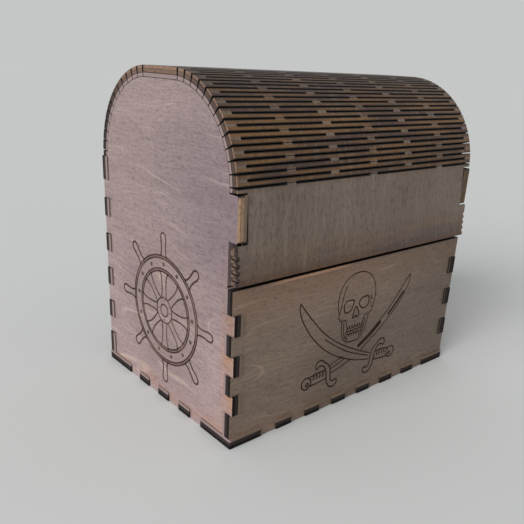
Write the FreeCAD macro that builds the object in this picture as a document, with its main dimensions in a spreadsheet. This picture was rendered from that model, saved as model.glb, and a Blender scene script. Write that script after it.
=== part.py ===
import FreeCAD, Part

import math
import os

import Sketcher
from FreeCAD import Placement, Rotation, Vector

# A small chest of laser-cut plywood with a living-hinge lid, and a jack on a coil spring inside it.
# Frame: +Z up, the front faces -Y, and the origin lies under the middle of the bottom panel.
# The lid is drawn shut, and the spring is pressed together under it.
doc = FreeCAD.newDocument("chest")

# Driving sizes in millimetres, degrees and counts: name, value, meaning.
driving = (
    ("chest_width", "100", "outer width over the two side panels"),
    ("chest_depth", "70", "outer depth over the front wall and the back wall"),
    ("chest_height", "100", "outer height from the bottom panel to the top of the lid"),
    ("ply", "3", "thickness of the plywood"),
    ("corner_radius", "25", "round upper corners of the side panels, where the lid bends"),
    ("finger_width", "6", "one finger of a finger joint"),
    ("finger_space", "6", "space between two fingers"),
    ("finger_proud", "0.5", "how far fingers and tabs stand out of the panel that they pass"),
    ("latch_height", "24", "height of the front between the round corner and the front fingers' row"),
    ("wall_drop", "0.5", "strip left off the front wall's top edge, which widens the seam"),
    ("tab_height", "12", "height of the tab that holds the flap"),
    ("tab_round", "0.5", "rounding of a tab's front edges"),
    ("notch_above", "0.4", "gap in the flap's notch above the tab"),
    ("notch_below", "2.1", "gap in the flap's notch below the tab, its play on opening"),
    ("notch_side", "0.3", "gap in the flap's notch beside the tab"),
    ("flap_lean", "3.5", "how far the springy flap leans out at its foot, in degrees"),
    ("flap_seam", "1.3", "gap between the flap's foot and the front wall"),
    ("grip_count", "4", "grip grooves in each lower edge of the flap"),
    ("grip_radius", "0.6", "radius of a grip groove"),
    ("grip_pitch", "1.9", "distance between two grip grooves"),
    ("lid_clearance", "0.15", "gap between the lid and the edges of the side panels"),
    ("slat_count", "12", "slats in each bend of the lid, each two strips wide"),
    ("slit_margin", "1.635", "distance from the end of a bend to its first slit line"),
    ("kerf", "0.34", "width of a slit at half thickness"),
    ("slit_count", "3", "slits side by side in one slat"),
    ("bridge", "3", "wood left between two slits"),
    ("seat_radius", "19", "wooden disc under the spring"),
    ("seat_height", "4", "thickness of the disc under the spring"),
    ("wire", "1.2", "diameter of the spring wire"),
    ("coil_radius", "14", "mean radius of the spring"),
    ("coil_turns", "8", "turns of the spring"),
    ("spring_length", "24", "length of the pressed spring"),
    ("base_radius", "17", "disc that carries the figure"),
    ("base_height", "3", "thickness of the disc that carries the figure"),
    ("body_radius", "14", "foot of the figure's tapered body"),
    ("neck_radius", "6", "top of the figure's tapered body"),
    ("body_height", "13", "height of the figure's tapered body"),
    ("collar_radius", "10", "pitch circle of the collar's lobes"),
    ("collar_height", "2.5", "thickness of the collar"),
    ("lobe_radius", "3.2", "one lobe of the collar"),
    ("lobe_count", "12", "lobes round the collar"),
    ("head_radius", "10.5", "ball of the head"),
    ("head_seat", "1.2", "flat ground off the head where it sits on the collar"),
    ("nose_radius", "2.2", "ball of the nose"),
    ("nose_drop", "1", "nose below the middle of the head"),
    ("cap_radius", "10.4", "brim of the cap"),
    ("cap_brim", "3.5", "brim of the cap above the middle of the head"),
    ("cap_tip", "1.6", "radius of the cap's cut tip"),
    ("cap_height", "13", "height of the cap from brim to tip"),
    ("bead_radius", "2.6", "bead on the tip of the cap"),
)
sizes = doc.addObject("Spreadsheet::Sheet", "sizes")
for row, (name, value, meaning) in enumerate(driving, start=1):
    sizes.set(f"A{row}", meaning)
    sizes.set(f"B{row}", value)
    sizes.setAlias(f"B{row}", name)
doc.recompute()

# Lengths and angles that follow from the driving sizes, written as formulas on the sheet.
inner_width = "(sizes.chest_width - 2 * sizes.ply)"
inner_depth = "(sizes.chest_depth - 2 * sizes.ply)"
half_width = "(sizes.chest_width / 2)"
finger_reach_x = "(sizes.chest_width / 2 + sizes.finger_proud)"
finger_reach_y = "(sizes.chest_depth / 2 + sizes.finger_proud)"
finger_pitch = "(sizes.finger_width + sizes.finger_space)"
bend_z = "(sizes.chest_height - sizes.ply - sizes.corner_radius)"
bend_y = f"({inner_depth} / 2 - sizes.corner_radius)"
back_rise = f"({bend_z} - sizes.ply)"
front_rise = f"({back_rise} - sizes.latch_height)"
lid_inner = "(sizes.corner_radius + sizes.lid_clearance)"
lid_outer = f"({lid_inner} + sizes.ply)"
lid_middle = f"({lid_inner} + sizes.ply / 2)"
margin_angle = "(sizes.slit_margin / sizes.corner_radius * 180 / pi)"
slat_angle = f"((90 - 2 * {margin_angle}) / sizes.slat_count)"
kerf_angle = f"(sizes.kerf / {lid_middle} * 180 / pi)"
end_angle = f"({margin_angle} - {kerf_angle} / 2)"
seat_top = "(sizes.ply + sizes.seat_height)"
figure_z = f"({seat_top} + sizes.spring_length)"
body_z = f"({figure_z} + sizes.base_height)"
collar_z = f"({body_z} + sizes.body_height)"
head_z = f"({collar_z} + sizes.collar_height + sizes.head_radius - sizes.head_seat)"
cap_z = f"({head_z} + sizes.cap_brim)"
tip_z = f"({cap_z} + sizes.cap_height)"

pieces = []


def number(formula):
    """The present value of a formula on the sheet."""
    return float(sizes.evalExpression(formula))


def finger_count(length):
    """How many fingers an edge of this length takes."""
    return f"floor(({length} - sizes.finger_space) / {finger_pitch})"


def first_finger(length):
    """Distance from the start of an edge to its first finger, so that the row is centred."""
    return f"(({length} - {finger_count(length)} * {finger_pitch} + sizes.finger_space) / 2)"


def new_body(label):
    """An empty body that becomes one piece of the chest."""
    body = doc.addObject("PartDesign::Body", label)
    body.Label = label
    pieces.append(body)
    return body


def datum(body, role):
    """One of a body's own origin planes or axes."""
    return next(feature for feature in body.Origin.OriginFeatures if feature.Role == role)


def place(piece, x="0", y="0", z="0", turn=None):
    """Bind a piece's place to the sheet; turn is its angle about the X axis."""
    if turn:
        piece.Placement = Placement(Vector(), Rotation(Vector(1, 0, 0), 1))
        piece.setExpression("Placement.Rotation.Angle", turn)
    for axis, formula in zip("xyz", (x, y, z)):
        piece.setExpression(f"Placement.Base.{axis}", formula)


def sketch_on(body, role, name, up="0", out="0"):
    """A sketch on an origin plane, moved by up along its own vertical and by out along its normal."""
    sketch = body.newObject("Sketcher::SketchObject", name)
    sketch.AttachmentSupport = (datum(body, role), [""])
    sketch.MapMode = "FlatFace"
    sketch.setExpression("AttachmentOffset.Base.y", up)
    sketch.setExpression("AttachmentOffset.Base.z", out)
    return sketch


def rectangle(sketch, tag, left, right, low, high):
    """A rectangle in a sketch, each side held at a formula's distance from the sketch's origin."""
    x0, x1, y0, y1 = (number(formula) for formula in (left, right, low, high))
    corners = [Vector(x0, y0), Vector(x1, y0), Vector(x1, y1), Vector(x0, y1)]
    ends = zip(corners, corners[1:] + corners[:1])
    sides = [sketch.addGeometry(Part.LineSegment(start, end)) for start, end in ends]
    for side, following in zip(sides, sides[1:] + sides[:1]):
        sketch.addConstraint(Sketcher.Constraint("Coincident", side, 2, following, 1))
    for kind, side in zip(("Horizontal", "Vertical", "Horizontal", "Vertical"), sides):
        sketch.addConstraint(Sketcher.Constraint(kind, side))
    held = (
        ("left", "DistanceX", sides[0], 1, x0, left),
        ("right", "DistanceX", sides[0], 2, x1, right),
        ("low", "DistanceY", sides[0], 1, y0, low),
        ("high", "DistanceY", sides[2], 1, y1, high),
    )
    for edge, kind, side, end, value, formula in held:
        index = sketch.addConstraint(Sketcher.Constraint(kind, -1, 1, side, end, value))
        sketch.renameConstraint(index, f"{tag}_{edge}")
        sketch.setExpression(f"Constraints.{tag}_{edge}", formula)


def circle(sketch, tag, across, up, radius):
    """A circle in a sketch, its centre and radius held by formulas."""
    centre = Vector(number(across), number(up))
    ring = sketch.addGeometry(Part.Circle(centre, Vector(0, 0, 1), number(radius)))
    held = (
        ("across", Sketcher.Constraint("DistanceX", -1, 1, ring, 3, centre.x), across),
        ("up", Sketcher.Constraint("DistanceY", -1, 1, ring, 3, centre.y), up),
        ("radius", Sketcher.Constraint("Radius", ring, number(radius)), radius),
    )
    for part, constraint, formula in held:
        index = sketch.addConstraint(constraint)
        sketch.renameConstraint(index, f"{tag}_{part}")
        sketch.setExpression(f"Constraints.{tag}_{part}", formula)


def pad(body, sketch, name, length, back=False):
    """Wood added on one side of a sketch."""
    feature = body.newObject("PartDesign::Pad", name)
    feature.Profile = sketch
    feature.Reversed = back
    feature.setExpression("Length", length)
    body.Tip = feature
    return feature


def pocket(body, sketch, name):
    """A cut right through the panel, on both sides of a sketch."""
    feature = body.newObject("PartDesign::Pocket", name)
    feature.Profile = sketch
    feature.SideType = "Symmetric"
    feature.Type = "ThroughAll"
    body.Tip = feature
    return feature


def turned(body, kind, sketch, name, angle, back=False, both=False):
    """Wood added (Revolution) or cut (Groove) round a sketch's horizontal axis."""
    feature = body.newObject(f"PartDesign::{kind}", name)
    feature.Profile = sketch
    feature.ReferenceAxis = (sketch, ["H_Axis"])
    feature.Midplane = both
    feature.Reversed = back
    feature.setExpression("Angle", angle)
    body.Tip = feature
    return feature


def repeat(body, feature, axis, spacing, count):
    """A row of copies of a feature along one of the body's axes."""
    row = body.newObject("PartDesign::LinearPattern", f"{feature.Name}_row")
    row.Originals = [feature]
    row.Direction = (datum(body, axis), [""])
    row.Mode = "Spacing"
    row.setExpression("Offset", spacing)
    row.setExpression("Occurrences", count)
    body.Tip = row
    return row


def round_edges(body, feature, name, radius, wanted):
    """Round those edges along X of a feature whose middle the wanted test picks."""
    doc.recompute()
    names = []
    for index, edge in enumerate(feature.Shape.Edges, start=1):
        box = edge.BoundBox
        along_x = box.XLength > box.YLength + box.ZLength
        if along_x and wanted(box.Center):
            names.append(f"Edge{index}")
    rounding = body.newObject("PartDesign::Fillet", name)
    rounding.Base = (feature, names)
    rounding.setExpression("Radius", radius)
    body.Tip = rounding
    return rounding


def finger_row(body, plane, name, sides, axis, length):
    """A centred row of fingers on a panel's edge; sides are the first finger's four formulas."""
    sketch = sketch_on(body, plane, f"{name}_shape")
    rectangle(sketch, "finger", *sides)
    finger = pad(body, sketch, name, "sizes.ply")
    repeat(body, finger, axis, finger_pitch, finger_count(length))


def side_panel(label, x):
    """A side panel: round upper corners, fingers below, in front and behind, and the latch tab."""
    body = new_body(label)
    outline = sketch_on(body, "YZ_Plane", "outline")
    top = "(sizes.chest_height - sizes.ply)"
    rectangle(outline, "panel", f"-{inner_depth} / 2", f"{inner_depth} / 2", "sizes.ply", top)
    panel = pad(body, outline, "panel", "sizes.ply")
    middle = number("sizes.chest_height / 2")
    round_edges(body, panel, "corners", "sizes.corner_radius", lambda centre: centre.z > middle)

    tab_shape = sketch_on(body, "YZ_Plane", "tab_shape")
    tab_low = f"({bend_z} - sizes.tab_height)"
    rectangle(tab_shape, "tab", f"-{finger_reach_y}", f"-{inner_depth} / 2", tab_low, bend_z)
    tab = pad(body, tab_shape, "tab", "sizes.ply")
    tip = number(f"-{finger_reach_y} + sizes.finger_proud / 2")
    low_tab = number(f"{tab_low} - sizes.finger_proud")
    round_edges(body, tab, "tab_edges", "sizes.tab_round", lambda c: c.y < tip and c.z > low_tab)

    start = f"(-{inner_depth} / 2 + {first_finger(inner_depth)})"
    sides = (start, f"{start} + sizes.finger_width", "0", "sizes.ply")
    finger_row(body, "YZ_Plane", "lower_finger", sides, "Y_Axis", inner_depth)
    start = f"(sizes.ply + {first_finger(front_rise)})"
    sides = (f"-{finger_reach_y}", f"-{inner_depth} / 2", start, f"{start} + sizes.finger_width")
    finger_row(body, "YZ_Plane", "front_finger", sides, "Z_Axis", front_rise)
    start = f"(sizes.ply + {first_finger(back_rise)})"
    sides = (f"{inner_depth} / 2", finger_reach_y, start, f"{start} + sizes.finger_width")
    finger_row(body, "YZ_Plane", "rear_finger", sides, "Z_Axis", back_rise)
    place(body, x=x)


def cross_wall(label, rise, behind, left_off="0"):
    """The front or back wall: fingers below, and notches for the side panels' fingers."""
    body = new_body(label)
    face = f"-{inner_depth} / 2" if behind else f"{inner_depth} / 2"
    outline = sketch_on(body, "XZ_Plane", "outline", out=face)
    top = f"(sizes.ply + {rise} - {left_off})"
    rectangle(outline, "wall", f"-{finger_reach_x}", finger_reach_x, "sizes.ply", top)
    pad(body, outline, "wall", "sizes.ply", back=behind)

    start = f"(-{inner_width} / 2 + {first_finger(inner_width)})"
    finger_shape = sketch_on(body, "XZ_Plane", "finger_shape", out=face)
    rectangle(finger_shape, "finger", start, f"{start} + sizes.finger_width", "0", "sizes.ply")
    finger = pad(body, finger_shape, "lower_finger", "sizes.ply", back=behind)
    repeat(body, finger, "X_Axis", finger_pitch, finger_count(inner_width))

    start = f"(sizes.ply + {first_finger(rise)})"
    notch_shape = sketch_on(body, "XZ_Plane", "notch_shape", out=face)
    heights = (start, f"{start} + sizes.finger_width")
    rectangle(notch_shape, "left", f"-{finger_reach_x}", f"-{inner_width} / 2", *heights)
    rectangle(notch_shape, "right", f"{inner_width} / 2", finger_reach_x, *heights)
    notch = pocket(body, notch_shape, "side_notch")
    repeat(body, notch, "Z_Axis", finger_pitch, finger_count(rise))
    return body


def back_wall():
    """The back wall with the first few degrees of the rear bend, up to its first slit line."""
    body = cross_wall("back_wall", back_rise, True)
    bend = sketch_on(body, "XY_Plane", "bend_shape", up=bend_y, out=bend_z)
    reach = "(sizes.corner_radius + sizes.ply)"
    rectangle(bend, "bend", f"-{half_width}", half_width, "sizes.corner_radius", reach)
    turned(body, "Revolution", bend, "bend", end_angle)


def bottom_panel():
    """The bottom panel with notches for the fingers of all four walls."""
    body = new_body("bottom_panel")
    outline = sketch_on(body, "XY_Plane", "outline")
    rectangle(outline, "panel", f"-{finger_reach_x}", finger_reach_x, f"-{finger_reach_y}", finger_reach_y)
    pad(body, outline, "panel", "sizes.ply")

    start = f"(-{inner_width} / 2 + {first_finger(inner_width)})"
    cross = sketch_on(body, "XY_Plane", "cross_notches")
    spans = (start, f"{start} + sizes.finger_width")
    rectangle(cross, "front", *spans, f"-{finger_reach_y}", f"-{inner_depth} / 2")
    rectangle(cross, "rear", *spans, f"{inner_depth} / 2", finger_reach_y)
    repeat(body, pocket(body, cross, "cross_notch"), "X_Axis", finger_pitch, finger_count(inner_width))

    start = f"(-{inner_depth} / 2 + {first_finger(inner_depth)})"
    side = sketch_on(body, "XY_Plane", "side_notches")
    spans = (start, f"{start} + sizes.finger_width")
    rectangle(side, "left", f"-{finger_reach_x}", f"-{inner_width} / 2", *spans)
    rectangle(side, "right", f"{inner_width} / 2", finger_reach_x, *spans)
    repeat(body, pocket(body, side, "side_notch"), "Y_Axis", finger_pitch, finger_count(inner_depth))


def slat(label, y, turn):
    """A slat of the living hinge: two strips side by side, joined by the bridges between its slits."""
    body = new_body(label)
    shape = sketch_on(body, "XZ_Plane", "slat_shape")
    rectangle(shape, "slat", f"-{half_width}", half_width, lid_inner, lid_outer)
    turned(body, "Revolution", shape, "slat", f"{slat_angle} - {kerf_angle}", both=True)

    slits = sketch_on(body, "XZ_Plane", "slit_shapes")
    length = "((sizes.chest_width - (sizes.slit_count + 1) * sizes.bridge) / sizes.slit_count)"
    for index in range(int(number("sizes.slit_count"))):
        left = f"(-{half_width} + sizes.bridge + {index} * ({length} + sizes.bridge))"
        spans = (left, f"{left} + {length}")
        rectangle(slits, f"slit{index}", *spans, f"{lid_inner} - sizes.kerf", f"{lid_outer} + sizes.kerf")
    turned(body, "Groove", slits, "slits", kerf_angle, both=True)
    place(body, y=y, z=bend_z, turn=turn)


def living_hinge():
    """Both bends of the lid; the rear slats count up from the back wall, the front ones from the top."""
    for index in range(int(number("sizes.slat_count"))):
        middle = f"({margin_angle} + ({index} + 0.5) * {slat_angle})"
        slat(f"rear_slat_{index + 1:02d}", bend_y, f"{middle} - 90")
        slat(f"front_slat_{index + 1:02d}", f"-{bend_y}", middle)


def lid_top():
    """The flat top of the lid, with the first degrees of both bends up to their first slit lines."""
    body = new_body("lid_top")
    outline = sketch_on(body, "XY_Plane", "outline", out=f"{bend_z} + {lid_inner}")
    rectangle(outline, "panel", f"-{half_width}", half_width, f"-{bend_y}", bend_y)
    pad(body, outline, "panel", "sizes.ply")
    for name, side, back in (("front_bend", bend_y, False), ("rear_bend", f"-{bend_y}", True)):
        bend = sketch_on(body, "XZ_Plane", f"{name}_shape", up=bend_z, out=side)
        rectangle(bend, "bend", f"-{half_width}", half_width, lid_inner, lid_outer)
        turned(body, "Revolution", bend, name, end_angle, back=back)


def lid_flap():
    """The flap: notches for the latch tabs, and grip grooves below them."""
    body = new_body("lid_flap")
    top = f"({lid_middle} * ({margin_angle} - sizes.flap_lean) * pi / 180 - sizes.kerf / 2)"
    sine = "sin(sizes.flap_lean)"
    cosine = "cos(sizes.flap_lean)"
    fall = "(sizes.latch_height + sizes.wall_drop - sizes.flap_seam)"
    foot = f"(-({fall} + {lid_inner} * {sine}) / {cosine})"
    outline = sketch_on(body, "XZ_Plane", "outline", out=lid_inner)
    rectangle(outline, "flap", f"-{half_width}", half_width, foot, top)
    pad(body, outline, "flap", "sizes.ply")

    notch_top = f"(sizes.notch_above - sizes.corner_radius * {sine})"
    tab_front = "(sizes.corner_radius + sizes.ply + sizes.finger_proud)"
    tab_foot = f"({tab_front} * {sine} + sizes.tab_height * {cosine})"
    notch_foot = f"(-{tab_foot} - sizes.notch_below)"
    notch_edge = f"({inner_width} / 2 - sizes.notch_side)"
    notches = sketch_on(body, "XZ_Plane", "notch_shapes", out=lid_inner)
    rectangle(notches, "left", f"-{half_width}", f"-{notch_edge}", notch_foot, notch_top)
    rectangle(notches, "right", notch_edge, half_width, notch_foot, notch_top)
    pocket(body, notches, "notches")

    row = "((sizes.grip_count - 1) * sizes.grip_pitch)"
    first = f"(({notch_foot} + {foot} - {row}) / 2)"
    grips = sketch_on(body, "XZ_Plane", "grip_shapes", out=lid_inner)
    circle(grips, "left", f"-{half_width}", first, "sizes.grip_radius")
    circle(grips, "right", half_width, first, "sizes.grip_radius")
    repeat(body, pocket(body, grips, "grip"), "Z_Axis", "sizes.grip_pitch", "sizes.grip_count")
    place(body, y=f"-{bend_y}", z=bend_z, turn="-sizes.flap_lean")


def primitive(kind, label, z="0", y="0", **formulas):
    """A turned wooden piece on the jack's axis, its sizes bound to formulas."""
    piece = doc.addObject(f"Part::{kind}", label)
    piece.Label = label
    for name, formula in formulas.items():
        piece.setExpression(name, formula)
    place(piece, y=y, z=z)
    return piece


def cut_by(label, whole, tool):
    """A piece hollowed where it sits on another."""
    piece = doc.addObject("Part::Cut", label)
    piece.Label = label
    piece.Base = whole
    piece.Tool = tool
    return piece


def collar():
    """A flat ruff with round lobes."""
    body = new_body("figure_collar")
    disc = sketch_on(body, "XY_Plane", "disc", out=collar_z)
    circle(disc, "disc", "0", "0", "sizes.collar_radius")
    pad(body, disc, "disc_pad", "sizes.collar_height")
    lobe = sketch_on(body, "XY_Plane", "lobe", out=collar_z)
    circle(lobe, "lobe", "sizes.collar_radius", "0", "sizes.lobe_radius")
    lobes = body.newObject("PartDesign::PolarPattern", "lobes")
    lobes.Originals = [pad(body, lobe, "lobe_pad", "sizes.collar_height")]
    lobes.Axis = (datum(body, "Z_Axis"), [""])
    lobes.setExpression("Occurrences", "sizes.lobe_count")
    body.Tip = lobes


def figure():
    """The jack: a turned doll with a tapered body, a lobed collar, a ball head and a pointed cap."""
    seat = primitive(
        "Cylinder", "spring_seat", z="sizes.ply",
        Radius="sizes.seat_radius", Height="sizes.seat_height",
    )
    base = primitive(
        "Cylinder", "figure_base", z=figure_z,
        Radius="sizes.base_radius", Height="sizes.base_height",
    )
    body = primitive(
        "Cone", "figure_body", z=body_z,
        Radius1="sizes.body_radius", Radius2="sizes.neck_radius", Height="sizes.body_height",
    )
    collar()
    flat = "-asin((sizes.head_radius - sizes.head_seat) / sizes.head_radius)"
    head = primitive("Sphere", "figure_head", z=head_z, Radius="sizes.head_radius", Angle1=flat)
    nose_ball = primitive(
        "Sphere", "nose_ball", y="-sizes.head_radius", z=f"{head_z} - sizes.nose_drop",
        Radius="sizes.nose_radius",
    )
    cone = primitive(
        "Cone", "cap_cone", z=cap_z,
        Radius1="sizes.cap_radius", Radius2="sizes.cap_tip", Height="sizes.cap_height",
    )
    rest = "sqrt(sizes.bead_radius ^ 2 - sizes.cap_tip ^ 2)"
    bead = primitive(
        "Sphere", "cap_bead", z=f"{tip_z} + {rest}",
        Radius="sizes.bead_radius", Angle1=f"-asin({rest} / sizes.bead_radius)",
    )
    nose = cut_by("figure_nose", nose_ball, head)
    cap = cut_by("figure_cap", cone, head)
    pieces.extend((seat, base, body, head, nose, cap, bead))


def arc_through(start, heading, end):
    """The circular arc that leaves start along heading and arrives at end."""
    chord = end - start
    along = Vector(chord).normalize()
    aside = heading - along * heading.dot(along)
    turn = heading.getAngle(along)
    bulge = chord.Length / 2 * math.tan(turn / 2)
    return Part.Arc(start, start + chord / 2 + aside.normalize() * bulge, end)


def biarc(start, heading, end, arrival):
    """Two arcs that join two points smoothly, with the given directions at both ends."""
    chord = end - start
    both = heading + arrival
    spread = 2 * (1 - heading.dot(arrival))
    reach = (math.sqrt(chord.dot(both) ** 2 + spread * chord.dot(chord)) - chord.dot(both)) / spread
    middle = (start + heading * reach + end - arrival * reach) / 2
    passing = (end - arrival * reach - start - heading * reach).normalize()
    return [arc_through(start, heading, middle), arc_through(middle, passing, end)]


def spring():
    """The spring as one unbroken wire: its ends stand square on the seat and under the figure."""
    wire = number("sizes.wire")
    radius = number("sizes.coil_radius")
    turns = number("sizes.coil_turns")
    low = number(seat_top)
    high = number(figure_z)
    end_radius = 2 * wire
    steps_per_turn = 2
    spots_per_turn = 60
    corrections = 10

    # The rise angle and the height of the end bends depend on each other, so they are found in turns.
    slope = 0.0
    for _ in range(corrections):
        end_height = wire + end_radius * math.cos(slope)
        slope = math.atan((high - low - 2 * end_height) / (turns * 2 * math.pi * radius))

    def point(turn):
        angle = turn * 2 * math.pi
        rise = turn / turns * (high - low - 2 * end_height)
        return Vector(radius * math.cos(angle), radius * math.sin(angle), low + end_height + rise)

    def level(turn):
        angle = turn * 2 * math.pi
        return Vector(-math.sin(angle), math.cos(angle), 0)

    def heading(turn):
        return level(turn) * math.cos(slope) + up * math.sin(slope)

    up = Vector(0, 0, 1)
    aside = end_radius * (1 - math.sin(slope))
    bend_start = point(0) - level(0) * aside - up * (end_height - wire)
    bend_end = point(turns) + level(turns) * aside + up * (end_height - wire)
    curves = [Part.LineSegment(bend_start - up * wire, bend_start)]
    curves.append(arc_through(bend_start, up, point(0)))
    count = int(turns * steps_per_turn)
    stops = [turns * index / count for index in range(count + 1)]
    for near, far in zip(stops, stops[1:]):
        curves += biarc(point(near), heading(near), point(far), heading(far))
    curves.append(arc_through(point(turns), heading(turns), bend_end))
    curves.append(Part.LineSegment(bend_end, bend_end + up * wire))
    path = Part.Wire([curve.toShape() for curve in curves])

    # The least gap between two stretches of wire that are at least half a turn apart along it.
    spots = path.discretize(Number=int(turns * spots_per_turn))
    apart = int(len(spots) / turns / 2)
    pairs = ((a, b) for i, a in enumerate(spots) for b in spots[i + apart:])
    print("spring: least gap to itself", round(min(a.distanceToPoint(b) for a, b in pairs) - wire, 2), "mm")

    section = Part.Wire(Part.Circle(bend_start - up * wire, up, wire / 2).toShape())
    shell = Part.BRepOffsetAPI.MakePipeShell(path)
    shell.add(section)
    shell.build()
    shell.makeSolid()
    piece = doc.addObject("Part::Feature", "jack_spring")
    piece.Label = "jack_spring"
    piece.Shape = shell.shape()
    piece.Placement = Placement()
    print("spring: volume against section times length", round(piece.Shape.Volume, 1), "and",
          round(math.pi * wire ** 2 / 4 * path.Length, 1), "cubic mm")
    pieces.append(piece)


side_panel("side_panel_left", f"-{half_width}")
side_panel("side_panel_right", f"{half_width} - sizes.ply")
cross_wall("front_wall", front_rise, False, "sizes.wall_drop")
back_wall()
bottom_panel()
living_hinge()
lid_top()
lid_flap()
figure()
spring()

doc.recompute()
for item in doc.Objects:
    if "Invalid" in item.State or "Error" in item.State:
        raise RuntimeError(f"{item.Label} failed: {item.State}")
for piece in pieces:
    shape = piece.Shape
    if shape.isNull() or not shape.isValid() or len(shape.Solids) != 1:
        raise RuntimeError(f"{piece.Label} isn't one valid solid")

os.makedirs("parts", exist_ok=True)
for piece in pieces:
    piece.Shape.exportStep(f"parts/{piece.Label}.step")
print(len(pieces), "pieces written")
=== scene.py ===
import math

import bpy
import numpy as np
from mathutils import Euler, Matrix


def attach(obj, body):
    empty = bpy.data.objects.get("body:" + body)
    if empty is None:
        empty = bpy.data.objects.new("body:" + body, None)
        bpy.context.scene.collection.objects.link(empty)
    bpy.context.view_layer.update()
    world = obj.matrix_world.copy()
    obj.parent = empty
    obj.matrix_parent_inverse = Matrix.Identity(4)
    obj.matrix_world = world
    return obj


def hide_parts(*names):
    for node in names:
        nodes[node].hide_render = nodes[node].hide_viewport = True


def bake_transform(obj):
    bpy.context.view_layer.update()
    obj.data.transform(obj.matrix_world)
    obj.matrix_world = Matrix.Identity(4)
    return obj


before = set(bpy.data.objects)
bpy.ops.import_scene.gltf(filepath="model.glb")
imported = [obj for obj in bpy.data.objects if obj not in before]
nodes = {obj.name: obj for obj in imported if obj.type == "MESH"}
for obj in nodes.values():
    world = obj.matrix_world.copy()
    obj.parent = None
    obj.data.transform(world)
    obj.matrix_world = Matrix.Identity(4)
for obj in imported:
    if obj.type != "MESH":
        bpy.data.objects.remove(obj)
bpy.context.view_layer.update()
scene = bpy.context.scene
mm = 0.001
print("chest loaded:", len(nodes), "nodes")

# sizes of the cut sheet that the finishes need, in metres and radians
sheet = {
    "ply": 0.003, "sideFace": 0.05, "frontFace": 0.035, "innerX": 0.047, "innerY": 0.032,
    "bendY": 0.007, "bendZ": 0.072, "lidInner": 0.02515, "lidMiddle": 0.02665, "lean": math.radians(3.5),
    "margin": 0.0654, "slatAngle": 0.12, "slats": 12, "lines": 24,
    "bridgeEvery": 0.097 / 3, "bridge": 0.003, "kerf": 0.00034,
}


# small helpers for shader nodes; a value is a number, a colour or a socket, and a socket's id_data is its
# node tree
def isSocket(value):
    return isinstance(value, bpy.types.NodeSocket)


def feed(node, values):  # a socket is linked to the node, anything else is set on it
    for key, value in values.items():
        if isSocket(value):
            node.id_data.links.new(value, node.inputs[key])
        else:
            node.inputs[key].default_value = value
    return node


def put(tree, kind, feeds, output=0, **settings):
    node = tree.nodes.new(kind)
    for key, value in settings.items():
        setattr(node, key, value)
    return feed(node, feeds).outputs[output]


def treeOf(*values):
    return next(value.id_data for value in values if isSocket(value))


def calc(operation, *values):
    return put(treeOf(*values), "ShaderNodeMath", dict(enumerate(values)), operation=operation)


def plus(first, *others):
    return plus(calc("ADD", first, others[0]), *others[1:]) if others else first


def minus(first, second):
    return calc("SUBTRACT", first, second)


def times(first, *others):
    return times(calc("MULTIPLY", first, others[0]), *others[1:]) if others else first


def absolute(value):
    return calc("ABSOLUTE", value)


def larger(first, second):
    return calc("MAXIMUM", first, second)


def smaller(first, second):
    return calc("MINIMUM", first, second)


def ease(value, low, high):  # 0 below low, 1 above high, smooth between
    feeds = {"Value": value, "From Min": low, "From Max": high}
    return put(value.id_data, "ShaderNodeMapRange", feeds, "Result", interpolation_type="SMOOTHSTEP")


def mixColor(mask, first, second, how="MIX"):
    feeds = {0: mask, 6: first, 7: second}  # the node's inputs 6 and 7 and its output 2 are the colours
    return put(treeOf(mask, first, second), "ShaderNodeMix", feeds, 2, data_type="RGBA", blend_type=how)


def vectorCalc(operation, vector, other, output=0):
    return put(vector.id_data, "ShaderNodeVectorMath", {0: vector, 1: other}, output, operation=operation)


def distance(vector, point):
    return vectorCalc("DISTANCE", vector, point, "Value")


# the dictionaries have for a noise its scale in each direction, then detail, roughness and warp if not as
# here
def noise(vector, x, y, z, detail=2.0, rough=0.5, warp=0.0):
    feeds = {
        "Vector": vectorCalc("MULTIPLY", vector, (x, y, z)), "Scale": 1.0,
        "Detail": detail, "Roughness": rough,
    }
    return put(vector.id_data, "ShaderNodeTexNoise", feeds | {"Distortion": warp}, "Fac")


def easedNoise(vector, look, word):
    return ease(noise(vector, *look[word]), *look[f"{word}From"])


def split(vector, parts="XYZ"):
    outputs = put(vector.id_data, "ShaderNodeSeparateXYZ", {0: vector}).node.outputs
    return [outputs[part] for part in parts]


def joined(x, y, z):
    return put(treeOf(x, y, z), "ShaderNodeCombineXYZ", {0: x, 1: y, 2: z})


def objectSpot(tree):
    return put(tree, "ShaderNodeTexCoord", {}, "Object")


# groups list their sockets by label; these labels carry a vector or a colour, and all others a number
socketKinds = {"Place": "Vector"} | dict.fromkeys(
    "Color Pale Deep Brown Bare Skin Paint Shade".split(), "Color",
)
surface = "Color Roughness Height"  # what the groups for finishes put out


def group(name, takes, gives):
    tree = bpy.data.node_groups.new(name, "ShaderNodeTree")
    for way, labels in (("INPUT", takes), ("OUTPUT", gives)):
        for label in labels.split():
            kind = socketKinds.get(label, "Float")
            tree.interface.new_socket(label, in_out=way, socket_type=f"NodeSocket{kind}")
    given = tree.nodes.new("NodeGroupInput").outputs
    return tree, tree.nodes.new("NodeGroupOutput"), *(given[label] for label in takes.split())


def use(tree, made, feeds=None):
    node = tree.nodes.new("ShaderNodeGroup")
    node.node_tree = made
    return {socket.name: socket for socket in feed(node, feeds or {}).outputs}


def rgb(r, g, b):
    return (r, g, b, 1.0)


def dimmed(color, share):
    return rgb(*(share * part for part in color[:3]))


plain = rgb(1, 1, 1)


# where a point lies in its sheet: along the grain, across it, and into the thickness
def makePlace(name, formula):
    tree, gives = group(name, "", "Place")
    feed(gives, {"Place": joined(*formula(*split(objectSpot(tree))))})
    return tree


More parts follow.
